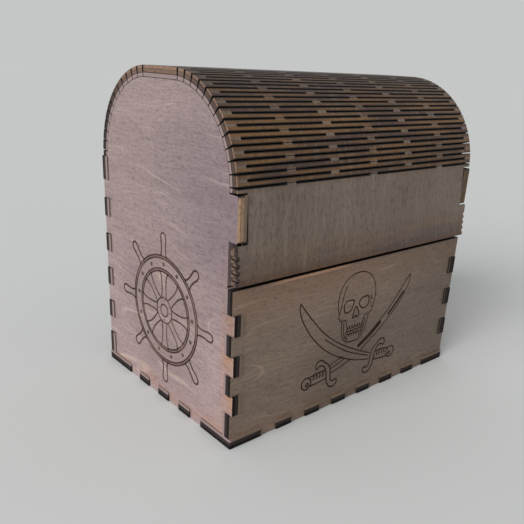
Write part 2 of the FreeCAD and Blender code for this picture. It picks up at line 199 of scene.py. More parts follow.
# the wrap is one sheet: back wall, rear bend, top, front bend and flap. Along it runs the arc length from the
# middle of the top; Angle is measured from the start of a bend, and the flap's lean is taken off its depth
def makeWrapPlace():
    tree, gives = group("wrapPlace", "", "Place Angle")
    x, y, z = split(objectSpot(tree))
    over = larger(minus(absolute(y), sheet["bendY"]), 0.0)
    rise = minus(z, sheet["bendZ"])
    above, below = larger(rise, 0.0), larger(times(rise, -1.0), 0.0)
    angle = calc("ARCTAN2", over, larger(rise, 1e-6))
    radius = calc("SQRT", plus(calc("POWER", over, 2.0), calc("POWER", above, 2.0)))
    flat = smaller(absolute(y), sheet["bendY"])
    along = times(plus(flat, times(angle, sheet["lidMiddle"]), below), calc("SIGN", y))
    lean = times(below, math.tan(sheet["lean"]), calc("LESS_THAN", y, 0.0))
    feed(gives, {"Place": joined(along, x, minus(minus(radius, sheet["lidInner"]), lean)), "Angle": angle})
    return tree


# grain of rotary-cut veneer, made of noises that are drawn out along the fibres and wander a little across
# them
grainLook = {
    "sway": (36, 30, 20), "swayBy": 0.006, "broad": (15, 75, 60, 2.0, 0.5, 0.4),
    "fibre": (110, 1500, 400, 4.0, 0.7), "fleck": (640, 2600, 300, 2.0, 0.6), "fleckFrom": (0.5, 0.7),
    "mottle": (520, 1000, 300, 3.0, 0.7, 0.6), "mottleFrom": (0.5, 0.68),
    "ring": (7, 40, 20, 1.0, 0.4, 0.5), "rings": 7.0, "ringLine": (0.05, 0.0), "breaks": (40, 70, 20),
    "breaksFrom": (0.47, 0.66), "streak": (45, 560, 100), "streakFrom": (0.62, 0.78), "streakShare": 0.8,
}


def makeGrain():
    tree, gives, place, seed = group("plyGrain", "Place Seed", "Broad Fibre Fleck Line Mottle")
    look = grainLook
    spot = vectorCalc("ADD", place, joined(seed, seed, 0.0))
    bent = vectorCalc("ADD", spot, joined(0.0, times(noise(spot, *look["sway"]), look["swayBy"]), 0.0))
    wave = absolute(minus(calc("FRACT", times(noise(bent, *look["ring"]), look["rings"])), 0.5))
    line = times(ease(wave, *look["ringLine"]), easedNoise(spot, look, "breaks"))
    streak = times(easedNoise(bent, look, "streak"), look["streakShare"])
    feed(gives, {
        "Broad": noise(bent, *look["broad"]), "Fibre": noise(bent, *look["fibre"]),
        "Line": larger(line, streak), "Fleck": easedNoise(bent, look, "fleck"),
        "Mottle": easedNoise(spot, look, "mottle"),
    })
    return tree


# stain over the grain; Warm browns it where smoke has caught it, Char blackens it
stainLook = {
    "fibre": (0.28, 0.72), "broad": (0.3, 0.7), "blot": (150, 420, 100, 2.0, 0.6), "blotFrom": (0.1, 0.5),
    "dark": rgb(0.02, 0.012, 0.014), "darkShare": 0.55, "fleck": 0.45,
    "light": rgb(1.0, 0.8, 0.62), "lightShare": 0.3, "char": rgb(0.012, 0.009, 0.008),
    "rough": 0.5, "fleckRough": 0.18, "charRough": 0.25, "fibreHigh": 0.6, "charDeep": 1.5,
}


def makeStain(grain):
    labels = "Place Seed Pale Deep Brown Streak Lines Mottle Warm Char"
    made = group("stainedPly", labels, surface)
    tree, gives, place, seed, pale, deep, brown, streak, lines, mottle, warm, char = made
    look = stainLook
    wood = use(tree, grain, {"Place": place, "Seed": seed})
    fibre, broad = ease(wood["Fibre"], *look["fibre"]), ease(wood["Broad"], *look["broad"])
    color = mixColor(plus(broad, times(minus(fibre, broad), streak)), deep, pale)
    warm = times(warm, easedNoise(place, look, "blot"))
    color = mixColor(warm, color, brown)
    dark = mixColor(look["darkShare"], color, look["dark"])
    color = mixColor(times(wood["Fleck"], look["fleck"]), color, dark)
    color = mixColor(times(wood["Mottle"], mottle), color, dark)
    light = mixColor(look["lightShare"], color, look["light"])
    color = mixColor(times(wood["Line"], lines), color, light)
    feed(gives, {
        "Color": mixColor(char, color, look["char"]),
        "Roughness": plus(
            look["rough"], times(wood["Fleck"], look["fleckRough"]), times(char, look["charRough"]),
        ),
        "Height": minus(minus(times(fibre, look["fibreHigh"]), wood["Fleck"]), times(char, look["charDeep"])),
    })
    return tree


# a laser-cut edge: three plies through the depth, glue lines between them, and soot over all. The inner
# veneer, as far as Inner reaches into the thickness, took the stain of the panel next to it, and a dark line
# ends it, char and painted shadow of the seam beside the panel
cutLook = {
    "lines": (700, 700, 2600, 2.0, 0.6), "linesFrom": (0.42, 0.75), "lined": rgb(0.05, 0.032, 0.024),
    "lineShare": 0.5, "core": (0.2, 0.14), "coreWood": rgb(0.1, 0.055, 0.035), "coreShare": 0.4,
    "glueAt": 0.19, "glue": (0.055, 0.015), "glued": rgb(0.03, 0.02, 0.016), "glueShare": 0.55,
    "burnt": rgb(0.009, 0.007, 0.007), "burntCore": rgb(0.045, 0.034, 0.034), "burntShare": 0.75,
    "sootLeast": 0.88, "sootLines": 0.26, "ending": (0.09, 0.03), "endLineCharShade": rgb(0.012, 0.009, 0.009),
    "veneer": (0.02, -0.03), "greyed": rgb(0.08, 0.055, 0.05), "greyShare": 0.35, "rough": 0.5,
    "sootRough": 0.25, "lineHigh": 0.6,
}


def makeCutEdge():
    tree, gives, place, bare, soot, skin, inner, line = group(
        "cutEdge", "Place Bare Soot Skin Inner Line", surface,
    )
    look = cutLook
    share = calc("DIVIDE", split(place)[2], sheet["ply"])
    off = absolute(minus(share, 0.5))
    core = ease(off, *look["core"])
    glue = ease(absolute(minus(off, look["glueAt"])), *look["glue"])
    lines = noise(place, *look["lines"])
    color = mixColor(times(core, look["coreShare"]), bare, look["coreWood"])
    color = mixColor(times(glue, look["glueShare"]), color, look["glued"])
    color = mixColor(times(ease(lines, *look["linesFrom"]), look["lineShare"]), color, look["lined"])
    burnt = mixColor(times(core, look["burntShare"]), look["burnt"], look["burntCore"])
    patchy = times(soot, plus(look["sootLeast"], times(lines, look["sootLines"])))
    color = mixColor(smaller(patchy, 1.0), color, burnt)
    past = minus(share, inner)
    # the dark line where the inner veneer stops: char and painted shadow of the seam
    color = mixColor(times(ease(absolute(past), *look["ending"]), line), color, look["endLineCharShade"])
    veneer = mixColor(times(lines, look["greyShare"]), skin, look["greyed"])
    feed(gives, {
        "Color": mixColor(ease(past, *look["veneer"]), color, veneer),
        "Roughness": plus(look["rough"], times(soot, look["sootRough"])),
        "Height": minus(times(lines, look["lineHigh"]), glue),
    })
    return tree


# soot and smoke beside the slits. Slit lines lie half a slat apart, and their bridges lie one bridge
# spacing apart along X, shifted by half a spacing on every second line. There is little smoke past the last
# slits
slitLook = {"smoke": (0.0019, 0.0009), "soot": (0.00062, 0.0003), "past": 0.25, "slitEnd": (-0.0002, 0.0003)}


def makeSlitSmoke():
    tree, gives, place, angle = group("slitSmoke", "Place Angle", "Smoke Soot")
    across = split(place)[1]
    half = sheet["slatAngle"] / 2
    line = calc("DIVIDE", minus(angle, sheet["margin"]), half)
    reach = half * (sheet["lidInner"] + sheet["ply"])
    smokes, soots = [], []
    for step in (0.0, 1.0):
        index = plus(calc("FLOOR", line), step)
        away = times(absolute(minus(line, index)), reach)
        bridge = plus(
            calc("DIVIDE", across, sheet["bridgeEvery"]), times(absolute(calc("MODULO", index, 2.0)), 0.5),
        )
        beside = times(absolute(minus(bridge, calc("ROUND", bridge))), sheet["bridgeEvery"])
        cut = ease(beside, *(sheet["bridge"] / 2 + end for end in slitLook["slitEnd"]))
        cut = times(
            cut, times(calc("GREATER_THAN", index, -0.5), calc("LESS_THAN", index, sheet["lines"] + 0.5)),
        )
        smokes.append(times(cut, ease(away, *slitLook["smoke"])))
        soots.append(times(cut, ease(away, *slitLook["soot"])))
    inBend = times(calc("GREATER_THAN", line, 0.0), calc("LESS_THAN", line, sheet["lines"]))
    held = plus(slitLook["past"], times(inBend, 1 - slitLook["past"]))
    feed(gives, {"Smoke": times(larger(*smokes), held), "Soot": larger(*soots)})
    return tree


apart = 0.31  # the two side panels show different stretches of the grain


def sideFormula(x, y, z):
    return plus(y, times(calc("SIGN", x), apart)), z, minus(absolute(x), sheet["innerX"])


sidePlace = makePlace("sidePlace", sideFormula)
frontPlace = makePlace("frontPlace", lambda x, y, z: (x, z, minus(absolute(y), sheet["innerY"])))
bottomPlace = makePlace("bottomPlace", lambda x, y, z: (x, y, minus(sheet["ply"], z)))
wrapPlace = makeWrapPlace()
stain = makeStain(makeGrain())
cutEdge, slitSmoke = makeCutEdge(), makeSlitSmoke()


def newMaterial(name, specular=0.3):
    material = bpy.data.materials.new(name)
    material.use_nodes = True
    feed(shaderOf(material), {"Specular IOR Level": specular})
    return material, material.node_tree


def shaderOf(material):
    return next(node for node in material.node_tree.nodes if node.type == "BSDF_PRINCIPLED")


def finishWith(material, look, bump, tint=None, deep=0.0001):
    color = mixColor(1.0, look["Color"], tint, "MULTIPLY") if tint else look["Color"]
    raised = put(
        color.id_data, "ShaderNodeBump", {"Height": look["Height"], "Strength": bump, "Distance": deep},
    )
    feed(shaderOf(material), {"Base Color": color, "Roughness": look["Roughness"], "Normal": raised})
    return material


# the stain as a finish's dictionary has it, with the masks that its material works out
def stained(tree, look, masks):
    keys = ("seed", "pale", "deep", "brown", "streak", "lines", "mottle")
    return use(tree, stain, {key.title(): look[key] for key in keys if key in look} | masks)


# the side panels: mauve stain, a dusky cloud behind the latch tab, orange smoke round the front fingers and
# the foot, and a haze round the engraving on the left one
sideFinish = {
    "pale": rgb(0.4, 0.3, 0.285), "deep": rgb(0.265, 0.19, 0.19), "brown": rgb(0.365, 0.195, 0.112),
    "seed": 0.37, "streak": 0.6, "lines": 0.6, "mottle": 0.5, "bump": 0.25, "warm": 0.92,
    "patches": (0, 130, 130, 3.0, 0.6), "patchesFrom": (0.42, 0.62), "frontEdge": (0.0275, 0.034),
    "lowHalf": (0.06, 0.03), "foot": (0.011, 0.002), "footShare": 0.45, "cloudAt": (0.0, -0.027, 0.066),
    "cloud": (0.05, 0.004), "cloudTint": rgb(0.72, 0.7, 0.78), "ragged": (90, 90, 160, 3.0),
    "raggedBy": 0.012, "low": (0.072, 0.02), "lowTint": rgb(1.17, 1.15, 1.17),
    "hazeAt": (0.0, -0.0007, 0.0304), "haze": (0.032, 0.014), "hazeTint": rgb(0.95, 0.935, 0.93),
    "innerFace": (0.0485, 0.0475), "proudEnd": (-0.0345, -0.0349),
}


def makeSideFace(name):
    material, tree = newMaterial(name)
    look = sideFinish
    x, y, z = split(objectSpot(tree))
    flat = joined(0.0, y, z)
    patches = easedNoise(flat, look, "patches")
    toFront = times(ease(times(y, -1.0), *look["frontEdge"]), ease(z, *look["lowHalf"]))
    toFront = times(toFront, plus(0.5, times(patches, 0.5)))
    toFoot = times(ease(z, *look["foot"]), patches, look["footShare"])
    away = plus(distance(flat, look["cloudAt"]), times(noise(flat, *look["ragged"]), look["raggedBy"]))
    tint = mixColor(ease(z, *look["low"]), plain, look["lowTint"])
    tint = mixColor(ease(away, *look["cloud"]), tint, look["cloudTint"])
    hazy = times(ease(distance(flat, look["hazeAt"]), *look["haze"]), calc("LESS_THAN", x, 0.0))
    tint = mixColor(hazy, tint, look["hazeTint"])
    masks = {
        "Place": use(tree, sidePlace)["Place"], "Warm": times(larger(toFront, toFoot), look["warm"]),
        "Char": times(ease(absolute(x), *look["innerFace"]), ease(y, *look["proudEnd"])),
    }
    return finishWith(material, stained(tree, look, masks), look["bump"], tint)


# the front wall: taupe stain, darker to the right by painted shade, a smoke haze with painted shade round the
# engraving and the foot, browned towards its cut top edge and charred there with painted shadow of the gap,
# and on the left a line under that edge pale from wear and a painted highlight
frontFinish = {
    "pale": rgb(0.305, 0.222, 0.166), "deep": rgb(0.195, 0.137, 0.102), "brown": rgb(0.28, 0.155, 0.098),
    "seed": 0.11, "streak": 0.6, "lines": 0.4, "mottle": 0.45, "bump": 0.25, "warm": 0.55,
    "top": (0.03, 0.0465), "foot": (0.008, 0.001), "footShare": 0.5, "rim": (0.0472, 0.0475),
    "right": (-0.01, 0.05), "rightShadeTint": rgb(0.7, 0.735, 0.735), "hazeAt": (-0.002, 0.0, 0.01),
    "haze": (0.036, 0.012), "hazeTint": rgb(0.71, 0.72, 0.71), "ragged": (60, 0, 140, 3.0),
    "raggedBy": 0.01, "wornAndHighlight": (0.0463, 0.0468), "wornAndHighlightFrom": (-0.04, -0.03), "wornAndHighlightTo": (-0.002, -0.012),
    "wornAndHighlightTint": rgb(2.0, 1.8, 1.6),
}


def makeFrontFace(name, placing=None):
    material, tree = newMaterial(name)
    look = frontFinish
    x, z = split(objectSpot(tree), "XZ")
    # painted shade: the wall darker towards the right
    tint = mixColor(ease(x, *look["right"]), plain, look["rightShadeTint"])
    if not placing:  # the wall itself, not the bottom
        # a pale line just under the top edge on the left: wear, and a painted highlight of the edge
        wornAndHighlight = times(ease(x, *look["wornAndHighlightFrom"]), ease(x, *look["wornAndHighlightTo"]), ease(z, *look["wornAndHighlight"]))
        tint = mixColor(wornAndHighlight, tint, look["wornAndHighlightTint"])
        # a smoke haze round the engraving, and painted shade towards the foot
        flat = joined(x, 0.0, z)
        away = plus(distance(flat, look["hazeAt"]), times(noise(flat, *look["ragged"]), look["raggedBy"]))
        tint = mixColor(ease(away, *look["haze"]), tint, look["hazeTint"])
    # Char: char along the top edge, partly painted shadow of the gap under the flap
    masks = {
        "Place": use(tree, placing or frontPlace)["Place"], "Char": ease(z, *look["rim"]),
        "Warm": times(
            larger(ease(z, *look["top"]), times(ease(z, *look["foot"]), look["footShare"])), look["warm"],
        ),
    }
    return finishWith(material, stained(tree, look, masks), look["bump"], tint)


def onWrap(tree):  # a point's place on the wrap, with the smoke and the soot there
    where = use(tree, wrapPlace)
    return where | use(tree, slitSmoke, where)


# the wrap: grey-brown with streaks down the flap, orange and dark brown strips between the slits, painted
# shade making it darkest at the top; by the flap's cut foot painted shade, a scorched brown that holds that
# shade, and char that is partly painted shadow
wrapFinish = {
    "pale": rgb(0.258, 0.203, 0.16), "deep": rgb(0.152, 0.115, 0.091), "orange": rgb(0.205, 0.1, 0.031),
    "purple": rgb(0.08, 0.043, 0.032), "seed": 0.73, "streak": 0.62, "lines": 0.2, "mottle": 0.62,
    "bump": 0.3, "smoke": 0.95, "patches": (480, 45, 100, 3.0, 0.6, 0.3), "patchesFrom": (0.36, 0.66),
    "foot": (0.058, 0.0725), "footShare": 0.55, "footRimCharShadow": (0.0721, 0.0728), "high": (1.0, 0.2),
    "topShadeTint": rgb(0.5, 0.49, 0.55), "shade": (0.063, 0.071), "shadeTint": rgb(0.8, 0.82, 0.9),
    "scorchAndShade": (0.0692, 0.0722), "scorchAndShadeTint": rgb(0.66, 0.555, 0.5),
}


def makeWrapFace(name):
    material, tree = newMaterial(name)
    look = wrapFinish
    where = onWrap(tree)
    down = times(split(where["Place"])[0], -1.0)
    patches = easedNoise(where["Place"], look, "patches")
    # painted shade: darker towards the top of the wrap
    tint = mixColor(ease(where["Angle"], *look["high"]), plain, look["topShadeTint"])
    # painted shade towards the flap's foot, then a scorched brown that also holds that painted shade
    for word in ("shade", "scorchAndShade"):
        tint = mixColor(ease(down, *look[word]), tint, look[f"{word}Tint"])
    masks = {
        "Place": where["Place"], "Brown": mixColor(patches, look["orange"], look["purple"]),
        "Warm": larger(
            times(where["Smoke"], look["smoke"]), times(ease(down, *look["foot"]), look["footShare"]),
        ),
        # the dark rim at the flap's foot: char, and painted shadow of the gap under the flap
        "Char": larger(where["Soot"], ease(down, *look["footRimCharShadow"])),
    }
    return finishWith(material, stained(tree, look, masks), look["bump"], tint)


# cut edges, with the stain of the panel beside them on their inner veneer
edgeFinish = {
    "bare": rgb(0.62, 0.41, 0.25), "soot": 1.0, "specular": 0.1, "bump": 0.35, "inner": 0.3,
    "innerRight": 0.1, "noInner": -0.2, "mauve": rgb(0.345, 0.255, 0.245), "taupe": rgb(0.24, 0.173, 0.128),
    "bridgeWood": rgb(0.2, 0.155, 0.12), "tabLow": (0.06, 0.0608), "tabHigh": (0.072, 0.0712),
    "tabFront": (-0.0345, -0.0352), "rubbed": (0.97, 0.3), "onLeft": (0.002, -0.002),
    "overWall": (0.0476, 0.0482), "underTab": (0.06, 0.0598), "atFlap": (-0.031, -0.0318), "allOver": 1.5,
    "sideEnds": (0.0496, 0.0499), "bend": ((0.03, 0.05), (1.54, 1.52)),
}


# on the side panels the flap has rubbed the left tab bare, and the edge behind the flap is stained all over
def sideEdgeFeeds(x, y, z):
    look = edgeFinish
    left, right = look["rubbed"]
    onLeft = ease(x, *look["onLeft"])
    tab = times(ease(z, *look["tabLow"]), ease(z, *look["tabHigh"]), ease(y, *look["tabFront"]))
    tab = times(tab, plus(right, times(onLeft, left - right)))
    behind = times(ease(z, *look["overWall"]), ease(z, *look["underTab"]), ease(y, *look["atFlap"]))
    inner = plus(look["innerRight"], times(onLeft, look["inner"] - look["innerRight"]))
    return {
        "Soot": times(look["soot"], minus(1.0, tab)), "Line": minus(1.0, tab),
        "Inner": larger(inner, times(behind, look["allOver"])),
        "Skin": mixColor(behind, look["taupe"], look["mauve"]),
    }


# the bottom's ends are mauve where they show in a side panel, taupe where they show in a wall
def bottomEdgeFeeds(x, y, z):
    aside = ease(absolute(x), *edgeFinish["sideEnds"])
    return {"Skin": mixColor(aside, edgeFinish["taupe"], edgeFinish["mauve"])}


def makeEdge(name, placing, changes=None):
    material, tree = newMaterial(name, edgeFinish["specular"])
    look = edgeFinish
    feeds = {
        "Place": use(tree, placing)["Place"], "Bare": look["bare"], "Soot": look["soot"],
        "Skin": look["mauve"], "Inner": look["inner"], "Line": 1.0,
    }
    if changes:
        feeds |= changes(*split(objectSpot(tree)))
    return finishWith(material, use(tree, cutEdge, feeds), look["bump"])


# the ends of the wrap: black behind, tan along the flat top, dark in front with a pale outer ply that is
# partly a painted highlight of the outer edge, and grips on the flap whose outer half is burnt
endFinish = {
    "bare": rgb(0.43, 0.26, 0.18), "rear": 0.95, "top": 0.35, "front": 0.75, "grip": 0.5, "inner": 0.33,
    "bump": 0.35, "behind": (0.014, 0.032), "ahead": (0.008, 0.02), "low": (0.073, 0.07),
    "outerPly": (0.0026, 0.0028), "outerPaleHighlight": 0.75, "gripOuter": (0.0011, 0.0016), "gripBurnt": 0.92,
    "specular": 0.2,
}


def makeWrapEnd(name):
    material, tree = newMaterial(name, endFinish["specular"])
    look = endFinish
    where = onWrap(tree)
    depth = split(where["Place"])[2]
    y, z = split(objectSpot(tree), "YZ")
    behind, ahead, low = ease(y, *look["behind"]), ease(times(y, -1.0), *look["ahead"]), ease(z, *look["low"])
    onFlap = times(ahead, low)
    soot = plus(
        look["top"], times(behind, look["rear"] - look["top"]), times(ahead, look["front"] - look["top"]),
    )
    soot = plus(soot, times(onFlap, look["grip"] - look["front"]))
    # the pale outer ply in front: less soot, and a painted highlight of the outer edge
    soot = times(soot, minus(1.0, times(ease(depth, *look["outerPly"]), times(ahead, look["outerPaleHighlight"]))))
    soot = larger(soot, times(ease(depth, *look["gripOuter"]), low, look["gripBurnt"]))
    feeds = {
        "Place": where["Place"], "Bare": look["bare"], "Soot": larger(soot, where["Soot"]), "Line": 1.0,
        "Skin": edgeFinish["mauve"],
        "Inner": minus(look["inner"], times(onFlap, look["inner"] - edgeFinish["noInner"])),
    }
    return finishWith(material, use(tree, cutEdge, feeds), look["bump"])


# the walls of the slits: soot, but plain wood where a bridge leaves the sheet whole
def makeSlitWall(name):
    material, tree = newMaterial(name, edgeFinish["specular"])
    look = edgeFinish
    where = onWrap(tree)
    start, end = look["bend"]
    inBend = times(ease(where["Angle"], *start), ease(where["Angle"], *end))
    soot = minus(1.0, times(inBend, minus(1.0, where["Soot"])))
    feeds = {
        "Place": where["Place"], "Bare": look["bridgeWood"], "Soot": soot, "Inner": look["noInner"],
        "Line": 1.0,
    }
    return finishWith(material, use(tree, cutEdge, feeds), look["bump"])


# burnt lines: char, browner where the beam went lightly
burnLook = {
    "grit": (2600, 2600, 2600, 2.0, 0.6), "gritFrom": (0.3, 0.6), "cloud": (140, 140, 140),
    "cloudFrom": (0.38, 0.7), "specular": 0.15, "rough": 0.65, "gritRough": 0.3, "bump": 0.4,
    "deep": 0.00005,
}


def makeBurn(name, char, brown):
    material, tree = newMaterial(name, burnLook["specular"])
    spot = objectSpot(tree)
    grit = noise(spot, *burnLook["grit"])
    mask = times(easedNoise(spot, burnLook, "cloud"), ease(grit, *burnLook["gritFrom"]))
    rough = plus(burnLook["rough"], times(grit, burnLook["gritRough"]))
    look = {"Color": mixColor(mask, char, brown), "Roughness": rough, "Height": grit}
    return finishWith(material, look, burnLook["bump"], None, burnLook["deep"])


sideFace = makeSideFace("stainedSide")
frontFace = makeFrontFace("stainedFront")
bottomFace = makeFrontFace("stainedBottom", bottomPlace)
wrapFace = makeWrapFace("stainedWrap")
sideEdge = makeEdge("sootySideEdge", sidePlace, sideEdgeFeeds)
frontEdge = makeEdge("sootyFrontEdge", frontPlace)
bottomEdge = makeEdge("sootyBottomEdge", bottomPlace, bottomEdgeFeeds)
wrapEnd = makeWrapEnd("wrapEnd")
slitWall = makeSlitWall("slitWall")
lightBurn = makeBurn("lightBurn", rgb(0.048, 0.026, 0.022), rgb(0.16, 0.088, 0.07))
deepBurn = makeBurn("deepBurn", rgb(0.018, 0.01, 0.007), rgb(0.065, 0.036, 0.023))
print("plywood finishes ready")


def coat(mesh, *finishes):
    mesh.materials.clear()
    for finish in finishes:
        mesh.materials.append(finish)


def faceVectors(mesh, kind):  # the normal or the centre of each face, by kind
    found = np.empty(len(mesh.polygons) * 3, np.float32)
    mesh.polygons.foreach_get(kind, found)
    return found.reshape(-1, 3)


# the CAD panels take their face finish on the sheet's two faces and an edge finish on every cut edge
def dress(name, finishes, choose):
    mesh = nodes[name].data
    coat(mesh, *finishes)
    picked = choose(faceVectors(mesh, "normal"), faceVectors(mesh, "center"))
    mesh.polygons.foreach_set("material_index", picked.astype(np.int32))


facing = 0.8  # a face looks along a direction where its normal has this much of it


# a flat panel's faces look along one axis, and all its other faces are cut edges
def facingAlong(axis):
    return lambda normals, centres: np.where(np.abs(normals[:, axis]) > facing, 0, 1)


# on the wrap a face looks away from the bend's axis or towards it; ends look along X
def facingOut(normals, centres):
    out = np.maximum(np.abs(centres[:, 1]) - sheet["bendY"], 0) * np.sign(centres[:, 1])
    up = np.maximum(centres[:, 2] - sheet["bendZ"], 0)
    ray = np.stack([out, up], 1)
    ray /= np.linalg.norm(ray, axis=1)[:, None] + 1e-9
    outward = np.abs((normals[:, 1:] * ray).sum(1)) > facing
    ends = np.abs(normals[:, 0]) > facing
    return np.where(outward, 0, np.where(ends, 1, 2))


for name in ("side_panel_left", "side_panel_right"):
    dress(name, (sideFace, sideEdge), facingAlong(0))
dress("front_wall", (frontFace, frontEdge), facingAlong(1))
dress("bottom_panel", (bottomFace, bottomEdge), facingAlong(2))
for name in [name for name in nodes if "slat" in name] + ["lid_top", "lid_flap", "back_wall"]:
    dress(name, (wrapFace, wrapEnd, slitWall), facingOut)
print("panels and slats dressed")


# new meshes from arrays
def newPiece(name, points, faces, material, body, smooth=True):
    mesh = bpy.data.meshes.new(name)
    mesh.from_pydata(np.asarray(points).tolist(), [], [list(face) for face in faces])
    coat(mesh, material)
    mesh.polygons.foreach_set("use_smooth", np.full(len(mesh.polygons), smooth))
    mesh.update()
    piece = bpy.data.objects.new(name, mesh)
    scene.collection.objects.link(piece)
    if body:
        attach(piece, body)
    return piece


# the quads between rings of points that follow one another; the last ring joins the first where the row is
# a loop
def ringQuads(rings, around, loop=False):
    r = np.arange(rings if loop else rings - 1)
    c = np.arange(around)
    r, c = (a.ravel() for a in np.meshgrid(r, c, indexing="ij"))
    r2, c2 = (r + 1) % rings, (c + 1) % around
    return np.stack([r * around + c, r * around + c2, r2 * around + c2, r2 * around + c], 1)


# a row of rings closed by a flat face at each end
def tubeFaces(rings, around, start=0):
    ends = [np.arange(around)[::-1], (rings - 1) * around + np.arange(around)]
    return [face + start for face in list(ringQuads(rings, around)) + ends]


# a row of rings closed by a pole at each end; the two poles are the last two points
def poleFaces(rings, around):
    c = np.arange(around)
    c2 = (c + 1) % around
    first, last = rings * around, rings * around + 1
    low = np.stack([0 * c + first, c2, c], 1)
    high = np.stack([0 * c + last, (rings - 1) * around + c, (rings - 1) * around + c2], 1)
    return list(ringQuads(rings, around)) + list(low) + list(high)


# blocks that share the section y, z, each carried along X from one end to the other
def blocks(spans, y, z):
    points, faces = [], []
    for number, ends in enumerate(spans):
        points.append(np.stack([np.repeat(ends, len(y)), np.tile(y, 2), np.tile(z, 2)], 1))
        faces += tubeFaces(2, len(y), 2 * len(y) * number)
    return np.concatenate(points), faces


def turnsOf(count):  # angles that share out a full turn
    return np.linspace(0, 2 * np.pi, count, endpoint=False)


# bridges: on each slit line between two slats three short blocks cross the slit. A block is the slit's
# section, two points each on the inner face, at half thickness and on the outer face, carried along X for
# the bridge's length. It rides on one slat; its other side tapers from half thickness outwards, where the
# slit closes as the lid unrolls
bridgeLook = {"centres": (-1, 0, 1), "sink": 0.00001, "room": 0.00021}


def makeBridges(name, angle, side, body):
    gap = sheet["kerf"] / sheet["lidMiddle"] / 2
    inner = sheet["lidInner"] + bridgeLook["sink"]
    outer = sheet["lidInner"] + sheet["ply"] - bridgeLook["sink"]
    radius = np.array([inner, inner, sheet["lidMiddle"], outer, outer, sheet["lidMiddle"]])
    turn = gap * np.array([-1.0, 1.0, 1.0, 1.0, -1.0, -1.0])
    turn[3 if side > 0 else 4] -= side * bridgeLook["room"] / outer
    y = side * (sheet["bendY"] + radius * np.sin(angle + turn))
    z = sheet["bendZ"] + radius * np.cos(angle + turn)
    ends = np.array([-0.5, 0.5]) * sheet["bridge"] * side
    points, faces = blocks([place * sheet["bridgeEvery"] + ends for place in bridgeLook["centres"]], y, z)
    return newPiece(name, points, faces, wrapFace, body, False)


for number in range(sheet["slats"] + 1):
    angle = sheet["margin"] + number * sheet["slatAngle"]
    frontBody = f"front_slat_{number + 1:02d}" if number < sheet["slats"] else "lid_flap"
    rearBody = f"rear_slat_{sheet['slats'] - number + 1:02d}" if number else "lid_top"
    makeBridges(f"frontBridges{number + 1:02d}", angle, -1, frontBody)
    makeBridges(f"rearBridges{number + 1:02d}", angle, 1, rearBody)
print("bridges set")


# lips: at the feet of the flap's notches a short block reaches up to just below each tab. Its section, in
# the flap's own leaning plane, is square outside and slopes off inside, so that it swings out past the tab
lipLook = {"from": 0.0467, "to": 0.05, "foot": -0.015818, "top": -0.014118, "land": 0.00075}


def makeLips(name):
    look = lipLook
    inner, outer = -sheet["lidInner"], -sheet["lidInner"] - sheet["ply"]
    across = np.array([outer, outer, outer + look["land"], inner])
    up = np.array([look["foot"], look["top"], look["top"], look["foot"]])
    cos, sin = math.cos(sheet["lean"]), -math.sin(sheet["lean"])
    y = -sheet["bendY"] + across * cos - up * sin
    z = sheet["bendZ"] + across * sin + up * cos
    points, faces = blocks(((-look["to"], -look["from"]), (look["from"], look["to"])), y, z)
    piece = newPiece(name, points, [face[::-1] for face in faces], wrapFace, "lid_flap", False)
    coat(piece.data, wrapFace, wrapEnd, slitWall)
    # each lip's outer face, then its land, slope and foot, then its two ends
    piece.data.polygons.foreach_set("material_index", np.tile([0, 2, 2, 2, 1, 1], 2))


makeLips("notchLips")
print("notch lips set")


# engraving: burnt lines in a panel's plane. A smooth line runs through its points, and each stretch of it
# blends four neighbouring points by cubic weights
def smoothLine(points, closed=False, steps=8):
    p = np.asarray(points, float)
    ends = (p[-1:], p[:2]) if closed else (2 * p[:1] - p[1:2], 2 * p[-1:] - p[-2:-1])
    whole = np.concatenate([ends[0], p, ends[1]])
    a, b, c, d = (whole[i:len(whole) - 3 + i, None] for i in range(4))
    t = np.linspace(0, 1, steps, endpoint=False)[None, :, None]
    line = 0.5 * (
        2 * b + (c - a) * t + (2 * a - 5 * b + 4 * c - d) * t ** 2 + (3 * b - a - 3 * c + d) * t ** 3
    )
    line = line.reshape(-1, 2)
    return line if closed else np.concatenate([line, p[-1:]])


stripLook = {"proud": 0.02, "sunk": -0.06}  # millimetres


# a strip: at each spot on the line a flat four-cornered section, set square to the line's run, a hair proud
# of the wood and sunk into it
def strip(line, width, closed):
    if closed:
        run = np.roll(line, -1, 0) - np.roll(line, 1, 0)
    else:
        run = np.gradient(line, axis=0)
    run /= np.linalg.norm(run, axis=1)[:, None] + 1e-12
    aside = np.stack([-run[:, 1], run[:, 0]], 1)
    spread = np.array([-0.5, 0.5, 0.5, -0.5]) * width
    level = np.array([stripLook["proud"]] * 2 + [stripLook["sunk"]] * 2)
    flat = line[:, None] + aside[:, None] * spread[None, :, None]
    return np.concatenate(
        [flat, np.broadcast_to(level[None, :, None], flat.shape[:2] + (1,))], 2,
    ).reshape(-1, 3)


# an engraving: the strips of all its strokes, from millimetres to metres, laid on a panel
def engrave(name, strokes, toPanel, finish):
    points, faces, total = [], [], 0
    for line, width, closed in strokes:
        points.append(strip(line, width, closed))
        count = len(line)
        faces += list(ringQuads(count, 4, True) + total) if closed else tubeFaces(count, 4, total)
        total += 4 * count
    u, v, level = (np.concatenate(points) * mm).T
    return newPiece(name, toPanel(u, v, level), [face[::-1] for face in faces], finish, "chest", False)


# points round a circle: the middle plus the radius times the cosine and the sine of each turn
def circleLine(middle, radius, count=72, start=0.0):
    turn = start + turnsOf(count)
    return np.asarray(middle) + radius * np.stack([np.cos(turn), np.sin(turn)], 1)


def smoothStrokes(shapes, width, closed=False):
    return [(smoothLine(points, closed), width, closed) for points in shapes]


